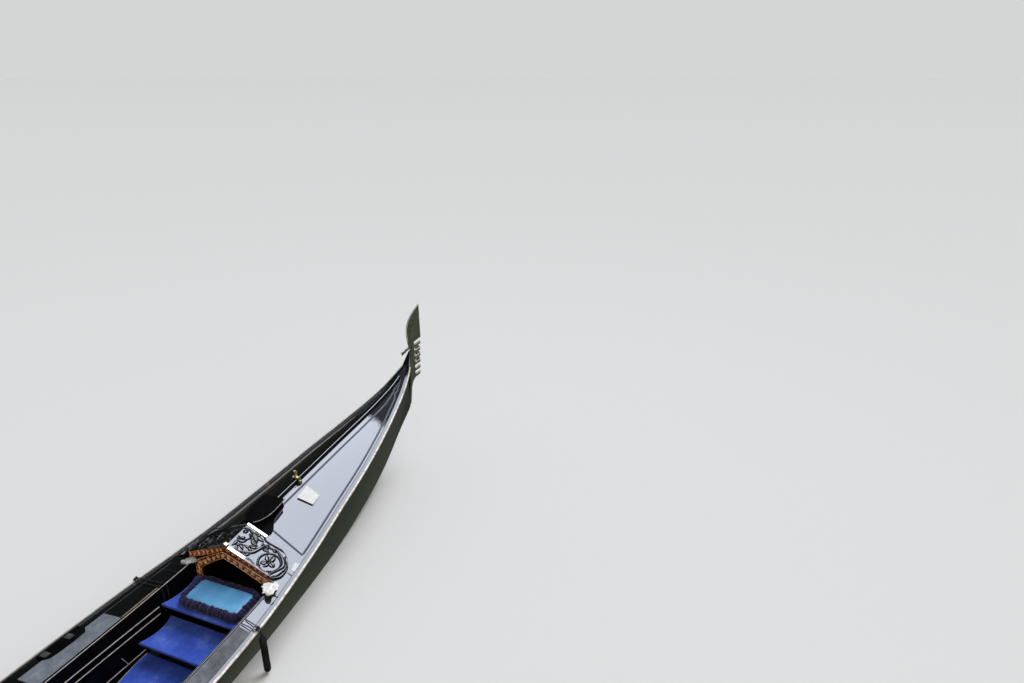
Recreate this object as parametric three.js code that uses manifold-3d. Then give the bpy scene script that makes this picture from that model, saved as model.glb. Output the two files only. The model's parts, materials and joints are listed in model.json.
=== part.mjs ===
// A gondola: a long flat-bottomed rowing boat, built up from planks, decks, trim and fittings.
// Millimetres. +X is the bow, +Y is port, +Z is up, and the origin is amidships at the waterline.
import * as THREE from 'three';
import { mergeVertices } from 'three/addons/utils/BufferGeometryUtils.js';
import Module from 'manifold-3d';

const wasm = await Module();
wasm.setup();

// Driving dimensions of the hull
const halfLength = 5425;      // stem iron to stern iron, halved
const plankEnd = 5060;        // where the planks butt against the posts
const lean = 90;              // how far the hull's middle line bows out to port amidships
const plank = 18;             // side and bottom planking
const waleProud = 22;         // the rubbing wale stands this far outside the planking
const waleDepth = 60;
const capWidth = 50;          // flat top of the gunwale, measured inboard from its outer edge
const capDrop = 12;           // the planking stops this far below the top of the gunwale
const bilgeSwell = 14;        // roundness of the sides between the chine and the gunwale
const deckThickness = 14;
const deckDrop = 5;           // deck edge below the top of the gunwale
const gap = 0.4;              // between pieces that touch
const seating = 0.9;          // the same, where both surfaces are slightly twisted

// The open well between the foredeck and the stern deck
const wellFore = 2105;
const wellAft = -2500;
const wellHalf = 450;         // amidships, about the line from stem to stern
const wellTaper = 50;         // and this much less at its ends
const coaming = 18;
const coamingRise = 38;       // above the gunwale
const sideDeckRise = 30;      // the side decks climb this much to the coaming
const hatchFore = 2405;

// Lines of the hull. Columns: x, sheer height, half breadth, underside of the bottom,
// half width of the bottom, rise of the deck's ridge over the gunwale.
const lines = [
  [-5060, 1135, 62, 625, 26, 14],
  [-4998, 1095, 84, 585, 32, 20],
  [-4785, 985, 150, 465, 50, 42],
  [-4495, 870, 220, 315, 92, 64],
  [-4205, 780, 288, 205, 142, 84],
  [-3635, 645, 402, 84, 238, 112],
  [-3055, 540, 500, 4, 322, 128],
  [-2475, 462, 588, -52, 388, 136],
  [-1605, 402, 676, -100, 452, 140],
  [0, 376, 722, -125, 480, 140],
  [1605, 412, 676, -98, 450, 205],
  [2475, 484, 561, -48, 385, 222],
  [3055, 581, 474, 8, 318, 196],
  [3635, 691, 389, 85, 235, 158],
  [4205, 815, 277, 205, 140, 104],
  [4495, 892, 210, 310, 90, 74],
  [4785, 992, 141, 458, 48, 44],
  [4998, 1108, 82, 582, 32, 22],
  [5060, 1152, 58, 622, 26, 14],
];

// Stations where every long piece has a section. Columns: x, steps to the next row.
const stationRows = [
  [-plankEnd, 5], [-4600, 9], [wellAft, 20], [wellFore, 6], [hatchFore, 10], [4600, 5], [plankEnd, 0],
];

const finishes = {
  lacquer: { color: 0x0b0b0d, roughness: 0.12, metalness: 0 },
  paint: { color: 0x15171a, roughness: 0.5, metalness: 0 },
  oak: { color: 0x6b4a2c, roughness: 0.6, metalness: 0 },
  mahogany: { color: 0x5a2412, roughness: 0.4, metalness: 0 },
  walnut: { color: 0x4a2c18, roughness: 0.4, metalness: 0 },
  steel: { color: 0xb9bdb8, roughness: 0.25, metalness: 1 },
  brass: { color: 0xc9a24a, roughness: 0.25, metalness: 1 },
  white: { color: 0xf2f2ee, roughness: 0.4, metalness: 0 },
  blueCarpet: { color: 0x2a3fae, roughness: 0.9, metalness: 0 },
  blueSatin: { color: 0x4b8fc4, roughness: 0.5, metalness: 0 },
  blueLeather: { color: 0x1c2f7a, roughness: 0.5, metalness: 0 },
  greyMat: { color: 0x7e8794, roughness: 0.9, metalness: 0 },
  rubber: { color: 0x121212, roughness: 0.8, metalness: 0 },
  rope: { color: 0xb8b4a6, roughness: 0.9, metalness: 0 },
};

const boat = new THREE.Group();

function add(name, finish, geometry) {
  geometry.computeVertexNormals();
  const mesh = new THREE.Mesh(geometry, new THREE.MeshStandardMaterial(finishes[finish]));
  mesh.name = name;
  boat.add(mesh);
  return mesh;
}

// Hull lines at any x, by smooth interpolation of the table
const curves = new THREE.CubicInterpolant(lines.map((row) => row[0]), lines.flatMap((row) => row.slice(1)), 5);

function hullAt(x) {
  const [sheer, half, keel, floor, ridge] = curves.evaluate(x);
  return { x, sheer, half, keel, floor, ridge, middle: lean * (1 - (x / halfLength) ** 2) };
}

const grid = stationRows.flatMap(([x, steps], i) =>
  steps ? Array.from({ length: steps }, (_, k) => x + ((stationRows[i + 1][0] - x) * k) / steps) : [x]);

const stations = (from, to) => grid.filter((x) => x >= from - 1 && x <= to + 1);

// Outside of the planking at height z, as a half breadth
function skin(hull, z) {
  const t = (z - hull.keel) / (hull.sheer - hull.keel);
  const swell = bilgeSwell * (hull.half / 722) * 4 * t * (1 - t);
  return hull.floor + (hull.half - waleProud - hull.floor) * t + swell;
}

// Top of the cambered deck at a half breadth y from the hull's middle line
function camber(hull, y) {
  const edge = hull.half - capWidth;
  return hull.sheer - deckDrop + hull.ridge * (1 - Math.abs(y) / edge);
}

// A value at x that is straight between the stations, as the faceted pieces are
function between(x, valueAt) {
  const next = grid.findIndex((station) => station > x);
  const i = next < 1 ? grid.length - 1 : next;
  const [a, b] = [grid[i - 1], grid[i]];
  const t = (x - a) / (b - a);
  return valueAt(hullAt(a)) * (1 - t) + valueAt(hullAt(b)) * t;
}

// Solid from closed loops of [x, y, z] points, each loop with the same number of points
function loft(loops) {
  const count = loops[0].length;
  const index = [];
  for (let i = 0; i + 1 < loops.length; i++) {
    for (let j = 0; j < count; j++) {
      const a = i * count + j;
      const b = i * count + ((j + 1) % count);
      index.push(a, b, b + count, a, b + count, a + count);
    }
  }
  const turn = Math.sign(THREE.ShapeUtils.area(loops[0].map(([, y, z]) => new THREE.Vector2(y, z))));
  const cap = (loop, first, facing) => {
    const flat = loop.map(([, y, z]) => new THREE.Vector2(y, z));
    for (const [a, b, c] of THREE.ShapeUtils.triangulateShape(flat, [])) {
      const winding = Math.sign(THREE.ShapeUtils.area([flat[a], flat[b], flat[c]]));
      index.push(first + a, first + (winding === facing ? b : c), first + (winding === facing ? c : b));
    }
  };
  cap(loops[0], 0, -turn);
  cap(loops[loops.length - 1], (loops.length - 1) * count, turn);
  const geometry = new THREE.BufferGeometry();
  geometry.setAttribute('position', new THREE.Float32BufferAttribute(loops.flat(2), 3));
  geometry.setIndex(index);
  return outward(geometry);
}

// Turns every face over when the solid is inside out
function outward(geometry) {
  const p = geometry.getAttribute('position');
  const index = Array.from(geometry.getIndex().array);
  const corner = (k) => new THREE.Vector3().fromBufferAttribute(p, index[k]);
  let volume = 0;
  for (let k = 0; k < index.length; k += 3) volume += corner(k).dot(corner(k + 1).cross(corner(k + 2)));
  if (volume < 0) geometry.setIndex(index.reverse());
  return geometry;
}

// Long piece along the hull: section(hull) gives its [y, z] loop, y measured from the middle line.
// Lengths that butt against each other stop short of their last stations by the inset.
function alongHull(from, to, section, side = 1, inset = 0) {
  return loft(stations(from, to).map((x) => {
    const hull = hullAt(x);
    const place = THREE.MathUtils.clamp(x, from + inset, to - inset);
    return section(hull).map(([y, z]) => [place, hull.middle + side * y, z]);
  }));
}

// Flat outline in the X-Z plane, cut from a plate of the given thickness centred on y
function uprightPlate(shape, thickness, y = 0) {
  const geometry = new THREE.ExtrudeGeometry(shape, { depth: thickness, bevelEnabled: false, curveSegments: 6 });
  return geometry.translate(0, 0, -thickness / 2).rotateX(Math.PI / 2).translate(0, y, 0);
}

// Flat outline in the Y-Z plane, cut from a board that runs from x to x + thickness
function crossBoard(shape, thickness, x) {
  const geometry = new THREE.ExtrudeGeometry(shape, { depth: thickness, bevelEnabled: false, curveSegments: 10 });
  const axes = [new THREE.Vector3(0, 1, 0), new THREE.Vector3(0, 0, 1), new THREE.Vector3(1, 0, 0)];
  return geometry.applyMatrix4(new THREE.Matrix4().makeBasis(...axes)).translate(x, 0, 0);
}

function box(x0, x1, y0, y1, z0, z1) {
  return new THREE.BoxGeometry(x1 - x0, y1 - y0, z1 - z0).translate((x0 + x1) / 2, (y0 + y1) / 2, (z0 + z1) / 2);
}

function shapeOf(points) {
  return new THREE.Shape(points.map(([u, v]) => new THREE.Vector2(u, v)));
}

// Joins and cuts
function solid(geometry) {
  const bare = geometry.clone();
  bare.deleteAttribute('normal');
  bare.deleteAttribute('uv');
  const merged = mergeVertices(bare, 1e-3);
  return new wasm.Manifold(new wasm.Mesh({
    numProp: 3,
    vertProperties: new Float32Array(merged.getAttribute('position').array),
    triVerts: new Uint32Array(merged.getIndex().array),
  }));
}

function fromSolid(result) {
  const { vertProperties, triVerts } = result.getMesh();
  const geometry = new THREE.BufferGeometry();
  geometry.setAttribute('position', new THREE.BufferAttribute(Float32Array.from(vertProperties), 3));
  geometry.setIndex(Array.from(triVerts));
  return geometry;
}

const join = (...parts) => fromSolid(parts.map(solid).reduce((whole, part) => whole.add(part)));
const cut = (body, ...tools) => fromSolid(tools.map(solid).reduce((whole, tool) => whole.subtract(tool), solid(body)));

const sides = [['port', 1], ['starboard', -1]];

// Planking, in lengths that butt at two of the stations
const buttAft = grid[18];
const buttFore = grid[32];
const lengths = [['aft', -plankEnd, buttAft], ['middle', buttAft, buttFore], ['fore', buttFore, plankEnd]];
function bottomSection({ floor, keel }) {
  const w = floor - plank - gap;
  return [[-w, keel], [w, keel], [w, keel + plank], [-w, keel + plank]];
}
for (const [place, from, to] of lengths) {
  add(`bottom_planking_${place}`, 'paint', alongHull(from, to, bottomSection, 1, gap / 2));
}

function sideSection(hull) {
  const wale = hull.sheer - waleDepth;
  const levels = [0, 0.33, 0.67, 1].map((share) => hull.keel + (wale - hull.keel) * share);
  const outer = [...levels, hull.sheer - capDrop].map((z) => [skin(hull, z), z]);
  return [...outer, ...outer.map(([y, z]) => [y - plank, z]).reverse()];
}
for (const [side, sign] of sides) {
  for (const [place, from, to] of lengths) {
    add(`side_planking_${side}_${place}`, 'lacquer', alongHull(from, to, sideSection, sign, gap / 2));
  }
}

// Gunwale: the wale outside the planking and the rounded cap over its top edge, in one length
function gunwaleSection(hull) {
  const { sheer, half } = hull;
  const low = sheer - waleDepth;
  return [
    [skin(hull, low) + gap, low],
    [skin(hull, low) + waleProud - 6, low],
    [half - 2, sheer - 20],
    [half, sheer - 9],
    [half - 4, sheer - 2],
    [half - 12, sheer],
    [half - capWidth + 6, sheer],
    [half - capWidth, sheer - 4],
    [half - capWidth, sheer - capDrop + gap],
    [skin(hull, sheer - capDrop) + gap, sheer - capDrop + gap],
  ].reverse();
}
for (const [side, sign] of sides) {
  add(`gunwale_${side}`, 'lacquer', alongHull(-plankEnd, plankEnd, gunwaleSection, sign));
}

// Stem and stern posts. Columns: x past the plank ends, foot, head, half width at the foot and at the head.
const stemRows = [
  [0.4, 640, 1152, 24, 57], [20, 650, 1180, 21, 50], [36, 680, 1205, 18, 43], [52, 735, 1230, 15, 36],
  [66, 800, 1252, 13, 31], [80, 875, 1272, 11, 26], [91, 975, 1288, 10, 22], [100, 1100, 1298, 9, 18],
  [108, 1220, 1306, 8, 14], [113, 1285, 1310, 7, 10],
];
function post(rows, sign) {
  return loft(rows.map(([out, foot, head, footHalf, headHalf]) => {
    const x = plankEnd + out;
    const shoulder = Math.max(head - 16, foot + 8);
    return [
      [footHalf, foot], [headHalf, shoulder], [headHalf * 0.6, head],
      [-headHalf * 0.6, head], [-headHalf, shoulder], [-footHalf, foot],
    ].map(([y, z]) => [sign * x, hullAt(plankEnd).middle + y, z]);
  }));
}
add('stem_post', 'lacquer', post(stemRows, 1));
const sternDrop = 18;
const sternRows = stemRows.map(([out, foot, head, a, b]) => [out, foot + 4, head - sternDrop, a, b + 4]);
add('stern_post', 'lacquer', post(sternRows, -1));

// Stem iron: curved blade, one tooth aft, six forward, and a strip down the front of the stem
const ironThickness = 9;
const bladeBack = [
  [5410, 1806], [5285, 1761], [5201, 1719], [5149, 1675], [5112, 1619], [5098, 1554], [5097, 1485], [5113, 1419],
];
const aftTooth = [[5131, 1363], [4965, 1354], [4975, 1306], [5131, 1326]];
const stripBack = [
  [5176, 1318], [5172.5, 1250], [5164.5, 1150], [5155, 1010], [5141.5, 860], [5121, 720], [5101, 650], [5085, 627],
];
const stripFront = [[5100, 622], [5121, 646], [5144, 756], [5166, 852], [5205, 900]];
const teeth = { count: 6, first: 1347, pitch: 76, depth: 42, root: 5257, tip: 5408, tipShift: 6 };
const teethOutline = [];
for (let i = teeth.count - 1; i >= 0; i--) {
  const top = teeth.first - i * teeth.pitch;
  const tip = teeth.tip - i * teeth.tipShift;
  teethOutline.push([teeth.root, top - teeth.depth], [tip, top - teeth.depth], [tip, top], [teeth.root, top]);
}
const ironOutline = [
  ...bladeBack, ...aftTooth, ...stripBack, ...stripFront, ...teethOutline,
  [teeth.root, 1378], [5420, 1385],
];
add('stem_iron', 'steel', uprightPlate(shapeOf(ironOutline), ironThickness, hullAt(5200).middle));

// Stern iron: a small curved plate on the sternpost, curling forward over its head
const sternIron = new THREE.Shape();
sternIron.moveTo(-5102, 655);
sternIron.lineTo(-5122, 650);
sternIron.quadraticCurveTo(-5190, 860, -5215, 1060);
sternIron.quadraticCurveTo(-halfLength + 90, 1240, -halfLength, 1395);
sternIron.quadraticCurveTo(-halfLength + 130, 1370, -5215, 1340);
sternIron.quadraticCurveTo(-5120, 1330, -5060, 1375);
sternIron.quadraticCurveTo(-5110, 1300, -5176, 1300);
sternIron.lineTo(-5174, 1240);
sternIron.quadraticCurveTo(-5168, 1000, -5142, 862);
const sternIronPlate = uprightPlate(sternIron, ironThickness, hullAt(5200).middle);
add('stern_iron', 'steel', sternIronPlate.translate(2.3, 0, 0));

// Decks fore and aft: two sloping panels that meet at the ridge
function openingHalf(x) {
  if (x > hatchFore - 2) return gap;
  return hatchHalf(x) - hatchRim;
}

// Half width of the carved hatch: broad, a little waisted at its aft edge, and rounded to a narrow front
const hatchNose = 190;
const hatchSweep = 312;
const hatchRim = 120;         // how far the hatch overlaps the deck around the hatchway
function hatchHalf(x) {
  const t = THREE.MathUtils.clamp((x - wellFore) / (hatchFore - wellFore), 0, 1);
  const waist = 1 - 0.15 * Math.max(0, 1 - t / 0.27) ** 2;
  return hatchNose + hatchSweep * waist * (1 - t ** 4) ** 0.6;
}

function deckSection(hull) {
  const outer = hull.half - capWidth - gap;
  const inner = Math.min(openingHalf(hull.x), outer - 5);
  return [
    [outer, camber(hull, outer)], [inner, camber(hull, inner)],
    [inner, camber(hull, inner) - deckThickness], [outer, camber(hull, outer) - deckThickness],
  ];
}
const sternDeckSection = (hull) => deckSection({ ...hull, x: hatchFore });
for (const [side, sign] of sides) {
  add(`foredeck_${side}`, 'lacquer', alongHull(wellFore, plankEnd, deckSection, sign));
  add(`stern_deck_${side}`, 'lacquer', alongHull(-plankEnd, wellAft, sternDeckSection, sign));
}

// Strip or block that sits astride the ridge
function astrideSection(hull, half, rise) {
  const width = Math.min(half, (hull.half - capWidth) * 0.8);
  const base = (y) => camber(hull, y) + seating;
  return [
    [width, base(width)], [width, camber(hull, 0) + rise * 0.55], [width * 0.72, camber(hull, 0) + rise],
    [-width * 0.72, camber(hull, 0) + rise], [-width, camber(hull, 0) + rise * 0.55], [-width, base(width)],
    [0, base(0)],
  ];
}
const cappingHalf = 27;
const cappingRise = 30;
const cappingAft = stations(hatchFore, plankEnd)[1];
const cappingSection = (hull) => astrideSection(hull, cappingHalf, cappingRise);
add('stern_ridge_capping', 'lacquer', alongHull(stations(-plankEnd, -4600)[1], wellAft, cappingSection));

// Spade-shaped block that ends the fore capping before the hatch: flat on top, on hollow flanks that flare aft.
// Columns: x, half width at the foot, half width on top, rise over the ridge.
const lobeRows = [
  [hatchFore + 12, 172, 40, 36], [2456, 182, 86, 40], [2515, 158, 112, 42], [2565, 120, 124, 45],
  [cappingAft, 96, 124, 46], [2745, 92, 112, 46],
];
const lobeEdge = 10;
const lobe = loft(lobeRows.map(([x, footHalf, topHalf, rise]) => {
  const surface = (y) => between(x, (hull) => camber(hull, y)) + 2 * seating + gap;
  const crown = surface(0) + rise;
  const middle = between(x, (hull) => hull.middle);
  const waist = Math.min(footHalf, topHalf) * 0.9 + 8;
  const waistZ = surface(waist) + (crown - surface(waist)) * 0.4;
  return [
    [footHalf, surface(footHalf)], [waist, waistZ], [topHalf, crown - lobeEdge], [topHalf, crown],
    [-topHalf, crown], [-topHalf, crown - lobeEdge], [-waist, waistZ], [-footHalf, surface(footHalf)],
    [0, surface(0)],
  ].map(([y, z]) => [x, middle + y, z]);
}));
const foreCapping = alongHull(cappingAft, stations(4600, plankEnd)[3], cappingSection);
add('foredeck_ridge_capping', 'lacquer', join(foreCapping, lobe));

// Carved hatch over the fore store: a low gable, broad aft and rounded to the front
const hatchThickness = 24;
function hatchSection(hull) {
  const half = hatchHalf(hull.x);
  const under = (y) => camber(hull, y) + seating;
  return [
    [half, under(half)], [half, under(half) + hatchThickness], [0, under(0) + hatchThickness],
    [-half, under(half) + hatchThickness], [-half, under(half)], [0, under(0)],
  ];
}
add('carved_hatch', 'lacquer', alongHull(wellFore, hatchFore, hatchSection));

// Bright metal strips astride the hatch's ridge: a broad one at its aft edge and a narrow one in front
const trimRise = 7;
function hatchTrim(xs, reach, clearance) {
  return loft(xs.map((x) => {
    const middle = between(x, (hull) => hull.middle);
    const top = (y) => between(x, (hull) => camber(hull, y)) + hatchThickness + clearance;
    return [
      [reach, top(reach)], [reach, top(reach) + trimRise], [0, top(0) + trimRise],
      [-reach, top(reach) + trimRise], [-reach, top(reach)], [0, top(0)],
    ].map(([y, z]) => [x, middle + y, z]);
  }));
}
add('hatch_trim_aft', 'steel', hatchTrim([wellFore, wellFore + 26], hatchNose, 2 * seating));
add('hatch_trim_fore', 'steel', hatchTrim([hatchFore - 24, hatchFore - 2], hatchNose - 1, 2 * seating));

// Side decks and coamings along the well
const wellAt = (x) => wellHalf - wellTaper * (x / wellAft) ** 2;
const wellEdge = (hull, sign) => wellAt(hull.x) - sign * hull.middle;
const sideDeckTop = (hull, share) => hull.sheer - deckDrop + sideDeckRise * share;

function sideDeckSection(hull, sign) {
  const outer = hull.half - capWidth - gap;
  const inner = wellEdge(hull, sign) + coaming + gap;
  return [
    [outer, sideDeckTop(hull, 0)], [inner, sideDeckTop(hull, 1)],
    [inner, sideDeckTop(hull, 1) - deckThickness], [outer, sideDeckTop(hull, 0) - deckThickness],
  ];
}

// Floor of the well, one layer on another: bottom, frames, boards and the carpeted platform
const frameDepth = 45;
const boardThickness = 14;
const platformThickness = 28;
const frameFoot = (hull) => hull.keel + plank + gap;
const boardFoot = (hull) => frameFoot(hull) + frameDepth + gap;
const boardTop = (hull) => boardFoot(hull) + boardThickness;

// The port coaming reaches the floor; the starboard one stops where the side closes in on it
const starboardDepth = 130;
function coamingSection(hull, sign) {
  const inner = wellEdge(hull, sign);
  const top = hull.sheer + coamingRise;
  const foot = sign > 0 ? boardTop(hull) + gap : hull.sheer - starboardDepth;
  return [
    [inner, foot], [inner + coaming, foot], [inner + coaming, top - 6], [inner + coaming - 5, top],
    [inner + 5, top], [inner, top - 6],
  ];
}
for (const [side, sign] of sides) {
  add(`side_deck_${side}`, 'lacquer',
    alongHull(wellAft + 1, wellFore - 1, (hull) => sideDeckSection(hull, sign), sign));
  add(`coaming_${side}`, 'lacquer',
    alongHull(wellAft + 1, wellFore - 1, (hull) => coamingSection(hull, sign), sign));
}

// Frames across the bottom and up the sides, tied by the keelson
const frameWidth = 30;
const frameHead = 160;        // below the gunwale
const frameSpots = stations(wellAft + 1, wellFore - 1).slice(1, -1);
function frameLoop(x) {
  const hull = hullAt(x);
  const foot = frameFoot(hull);
  const head = hull.sheer - frameHead;
  const levels = [foot, foot + (head - foot) * 0.4, head];
  const outer = levels.map((z) => [skin(hull, z) - plank - 1.2, z]);
  const inner = [[skin(hull, head) - plank - 38, head], [skin(hull, foot + frameDepth) - plank - 48, foot + frameDepth]];
  const half = [...outer, ...inner];
  const mirrored = half.map(([y, z]) => [-y, z]).reverse();
  return [...half, ...mirrored].map(([y, z]) => [x, hull.middle + y, z]);
}
const frameSolids = frameSpots.map((x) => {
  return loft([frameLoop(x - frameWidth / 2), frameLoop(x + frameWidth / 2)]);
});
const keelsonHalf = 70;
const keelson = alongHull(frameSpots[0] - 1, frameSpots[frameSpots.length - 1] + 1, (hull) => {
  const top = frameFoot(hull) + frameDepth - 2;
  return [[-keelsonHalf, top - 22], [keelsonHalf, top - 22], [keelsonHalf, top], [-keelsonHalf, top]];
});
add('frames_and_keelson', 'oak', join(keelson, ...frameSolids));

function floorSection(hull) {
  const w = hull.floor - 52;
  return [[-w, boardFoot(hull)], [w, boardFoot(hull)], [w, boardTop(hull)], [-w, boardTop(hull)]];
}
add('floor_boards', 'oak', alongHull(frameSpots[0], frameSpots[frameSpots.length - 1], floorSection));

// Arched board under the aft edge of the hatch and the board that closes the well aft
function archShape(hull, footZ, archHalf, archTop) {
  const boardReach = wellAt(hull.x) - gap;
  const edge = hull.sheer + coamingRise - 6;
  const peak = camber(hull, 0) - 4;
  const shape = shapeOf([
    [-boardReach, footZ], [-boardReach, edge], [hull.middle, peak], [boardReach, edge], [boardReach, footZ],
    [archHalf, footZ], [archHalf, footZ + 40],
  ]);
  shape.quadraticCurveTo(archHalf * 0.95, archTop, 0, archTop);
  shape.quadraticCurveTo(-archHalf * 0.95, archTop, -archHalf, footZ + 40);
  shape.lineTo(-archHalf, footZ);
  return shape;
}
const archFoot = 200;
const archX = wellFore - 26;
add('arch_board', 'mahogany', crossBoard(archShape(hullAt(wellFore), archFoot, 340, 590), 24, archX));

const sternBoard = hullAt(wellAft);
const sternFoot = boardTop(sternBoard) + 6;
const sternReach = sternBoard.floor - 70;
const boardReach = wellAt(wellAft) - gap;
add('stern_board', 'lacquer', crossBoard(shapeOf([
  [-boardReach, sternBoard.sheer + coamingRise - 6], [-boardReach, sternBoard.sheer - 170],
  [-sternReach, sternFoot + 70], [-sternReach, sternFoot], [sternReach, sternFoot], [sternReach, sternFoot + 70],
  [boardReach, sternBoard.sheer - 170], [boardReach, sternBoard.sheer + coamingRise - 6],
  [sternBoard.middle, camber(sternBoard, 0) - 4],
]), 22, wellAft + 2));

// Steps down into the well from the foredeck, carpeted blue, with the port edge hollowed out in a curve.
// Columns: name, aft edge, fore edge, top, half width.
const stepThickness = 26;
const stepHollow = 42;
const stepRows = [
  ['upper_step', 1695, 2060, 330, 410],
  ['lower_step', 1430, 1750, 170, 402],
];
for (const [name, aft, fore, top, half] of stepRows) {
  const plan = shapeOf([[fore, half], [fore, -half], [aft, -half], [aft, half]]);
  plan.quadraticCurveTo((aft + fore) / 2, half - 2 * stepHollow, fore, half);
  const step = new THREE.ExtrudeGeometry(plan, { depth: stepThickness, bevelEnabled: false, curveSegments: 10 });
  add(name, 'blueCarpet', step.translate(0, 0, top - stepThickness));
}
const platformFore = frameSpots[frameSpots.length - 3];
const platformAft = stations(-800, 0)[0];
const platformTop = (hull) => boardTop(hull) + gap + platformThickness;
add('carpeted_platform', 'blueCarpet', alongHull(platformAft, platformFore, (hull) => {
  const [right, left] = [-325 - hull.middle, 395 - hull.middle];
  const foot = boardTop(hull) + gap;
  return [[right, foot], [left, foot], [left, platformTop(hull)], [right, platformTop(hull)]];
}));

// Trestle that carries the two steps: two cheeks and a rail between them
const cheek = { half: 270, thickness: 22, aft: 1500, fore: frameSpots[frameSpots.length - 1] - 20 };
const cheekOutline = shapeOf([
  [cheek.aft, between(cheek.aft, boardTop) + gap], [cheek.fore, between(cheek.fore, boardTop) + gap],
  [cheek.fore, 330 - stepThickness - gap],
  [1752, 330 - stepThickness - gap], [1752, 170 - stepThickness - gap], [cheek.aft, 170 - stepThickness - gap],
]);
add('step_trestle', 'paint', join(
  uprightPlate(cheekOutline, cheek.thickness, cheek.half),
  uprightPlate(cheekOutline, cheek.thickness, -cheek.half),
  box(1800, 1830, -cheek.half, cheek.half, 150, 240),
));

// Cushion with a plush border, on the upper step
add('fringed_cushion', 'blueSatin', box(1708, 2066, -362, 322, 330 + gap, 418));

// Mats on the side decks. Columns: side, sign, aft station, fore station, inner and outer half breadth.
const matThickness = 4;
const matRows = [
  ['starboard', -1, 460, 1650, 0.08, 0.96],
  ['port', 1, 700, 1420, 0.22, 0.66],
];
for (const [side, sign, aft, fore, innerShare, outerShare] of matRows) {
  add(`deck_mat_${side}`, 'greyMat', alongHull(aft, fore, (hull) => {
    const inner = wellEdge(hull, sign) + coaming;
    const outer = hull.half - capWidth;
    const at = (share) => inner + (outer - inner) * share;
    const top = (share) => sideDeckTop(hull, 1 - share) + seating;
    return [
      [at(outerShare), top(outerShare)], [at(innerShare), top(innerShare)],
      [at(innerShare), top(innerShare) + matThickness], [at(outerShare), top(outerShare) + matThickness],
    ];
  }, sign));
}

// Fenders hung over the gunwale, each by a doubled rope that is made fast at the coaming
const fender = { radius: 31, length: 370, drop: 34 };
const ropeRadius = 4;
const fenderRows = [['starboard', -1, 1690], ['port', 1, 1760]];
for (const [side, sign, x] of fenderRows) {
  const edge = between(x, (hull) => hull.half);
  const middle = between(x, (hull) => hull.middle);
  const sheer = between(x, (hull) => hull.sheer);
  const inner = wellAt(x) - sign * middle + coaming;
  const y = middle + sign * (edge + fender.radius + 1);
  const top = sheer - fender.drop;
  const profile = [
    [0, 0], [10, 0], [22, 9], [fender.radius, 28], [fender.radius, fender.length - 50],
    [22, fender.length - 30], [11, fender.length - 20], [11, fender.length], [0, fender.length],
  ].map(([r, z]) => new THREE.Vector2(r, z));
  const body = new THREE.LatheGeometry(profile, 20).rotateX(Math.PI / 2);
  add(`fender_${side}`, 'rubber', body.translate(x, y, top - fender.length));
  const lift = ropeRadius + 1.5;
  const halfRoute = [
    [26, inner + 10, sheer + sideDeckRise - deckDrop + lift],
    [20, (inner + edge) / 2, sheer + sideDeckRise / 2 - deckDrop + lift + 5],
    [13, edge - 22, sheer + lift],
    [9, edge + 1, sheer + lift - 1],
    [6, edge + lift + 8, sheer - 12],
    [3, edge + fender.radius - 3, top + ropeRadius + 1],
  ];
  const route = [...halfRoute, ...halfRoute.map(([dx, ry, z]) => [-dx, ry, z]).reverse()];
  const path = new THREE.CatmullRomCurve3(route.map(([dx, ry, z]) =>
    new THREE.Vector3(x + dx, middle + sign * ry, z)));
  const ring = new THREE.Shape().absarc(0, 0, ropeRadius, 0, Math.PI * 2);
  add(`fender_rope_${side}`, 'rope', new THREE.ExtrudeGeometry(ring, {
    extrudePath: path, steps: 48, curveSegments: 4, bevelEnabled: false,
  }));
}

// Thin plate that lies on the foredeck's slope, from its outline in plan
function deckPlate(outline, thickness) {
  const corner = ([x, y], lift) => {
    const away = y - between(x, (hull) => hull.middle);
    return [x, y, between(x, (hull) => camber(hull, away)) + lift];
  };
  const [a, b, c, d] = outline;
  const steps = 4;
  const mix = (p, q, t) => [p[0] + (q[0] - p[0]) * t, p[1] + (q[1] - p[1]) * t];
  return loft(Array.from({ length: steps + 1 }, (_, i) => {
    const [near, far] = [mix(a, b, i / steps), mix(d, c, i / steps)];
    const lift = 1;
    return [corner(near, lift), corner(near, lift + thickness), corner(far, lift + thickness), corner(far, lift)];
  }));
}
const plateCorners = [[3056, -42], [3050, -183], [2919, -200], [2888, -57]];
add('blank_plate', 'white', deckPlate(plateCorners, 6));

// Brass holder that clamps over the ridge capping, with a cup for flowers
const holder = { x: 3042, saddle: 34, height: 62, cup: 12, cupDepth: 22 };
const holderHull = hullAt(holder.x);
const holderBase = camber(holderHull, 0) + cappingRise + 5;
const holderStem = new THREE.LatheGeometry([
  [0, -2], [20, -2], [20, 5], [8, 9], [7, 18], [12, 22], [8, 27], [10, 34], [16, 42], [17, holder.height],
  [holder.cup, holder.height], [holder.cup, holder.height - holder.cupDepth], [0, holder.height - holder.cupDepth],
].map(([r, z]) => new THREE.Vector2(r, z)), 16).rotateX(Math.PI / 2);
const saddleBase = (y) => camber(holderHull, y) + 4;
const saddle = crossBoard(shapeOf([
  [-holder.saddle - 22, saddleBase(56)], [-holder.saddle + 4, saddleBase(30)],
  [-holder.saddle + 4, holderBase], [holder.saddle - 4, holderBase],
  [holder.saddle - 4, saddleBase(30)], [holder.saddle + 22, saddleBase(56)],
  [holder.saddle + 18, saddleBase(56) + 12], [holder.saddle, holderBase + 5], [-holder.saddle, holderBase + 5],
  [-holder.saddle - 18, saddleBase(56) + 12],
]), 30, holder.x - 15).translate(0, holderHull.middle, 0);
add('brass_holder', 'brass', join(saddle, holderStem.translate(holder.x, holderHull.middle, holderBase)));

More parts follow.
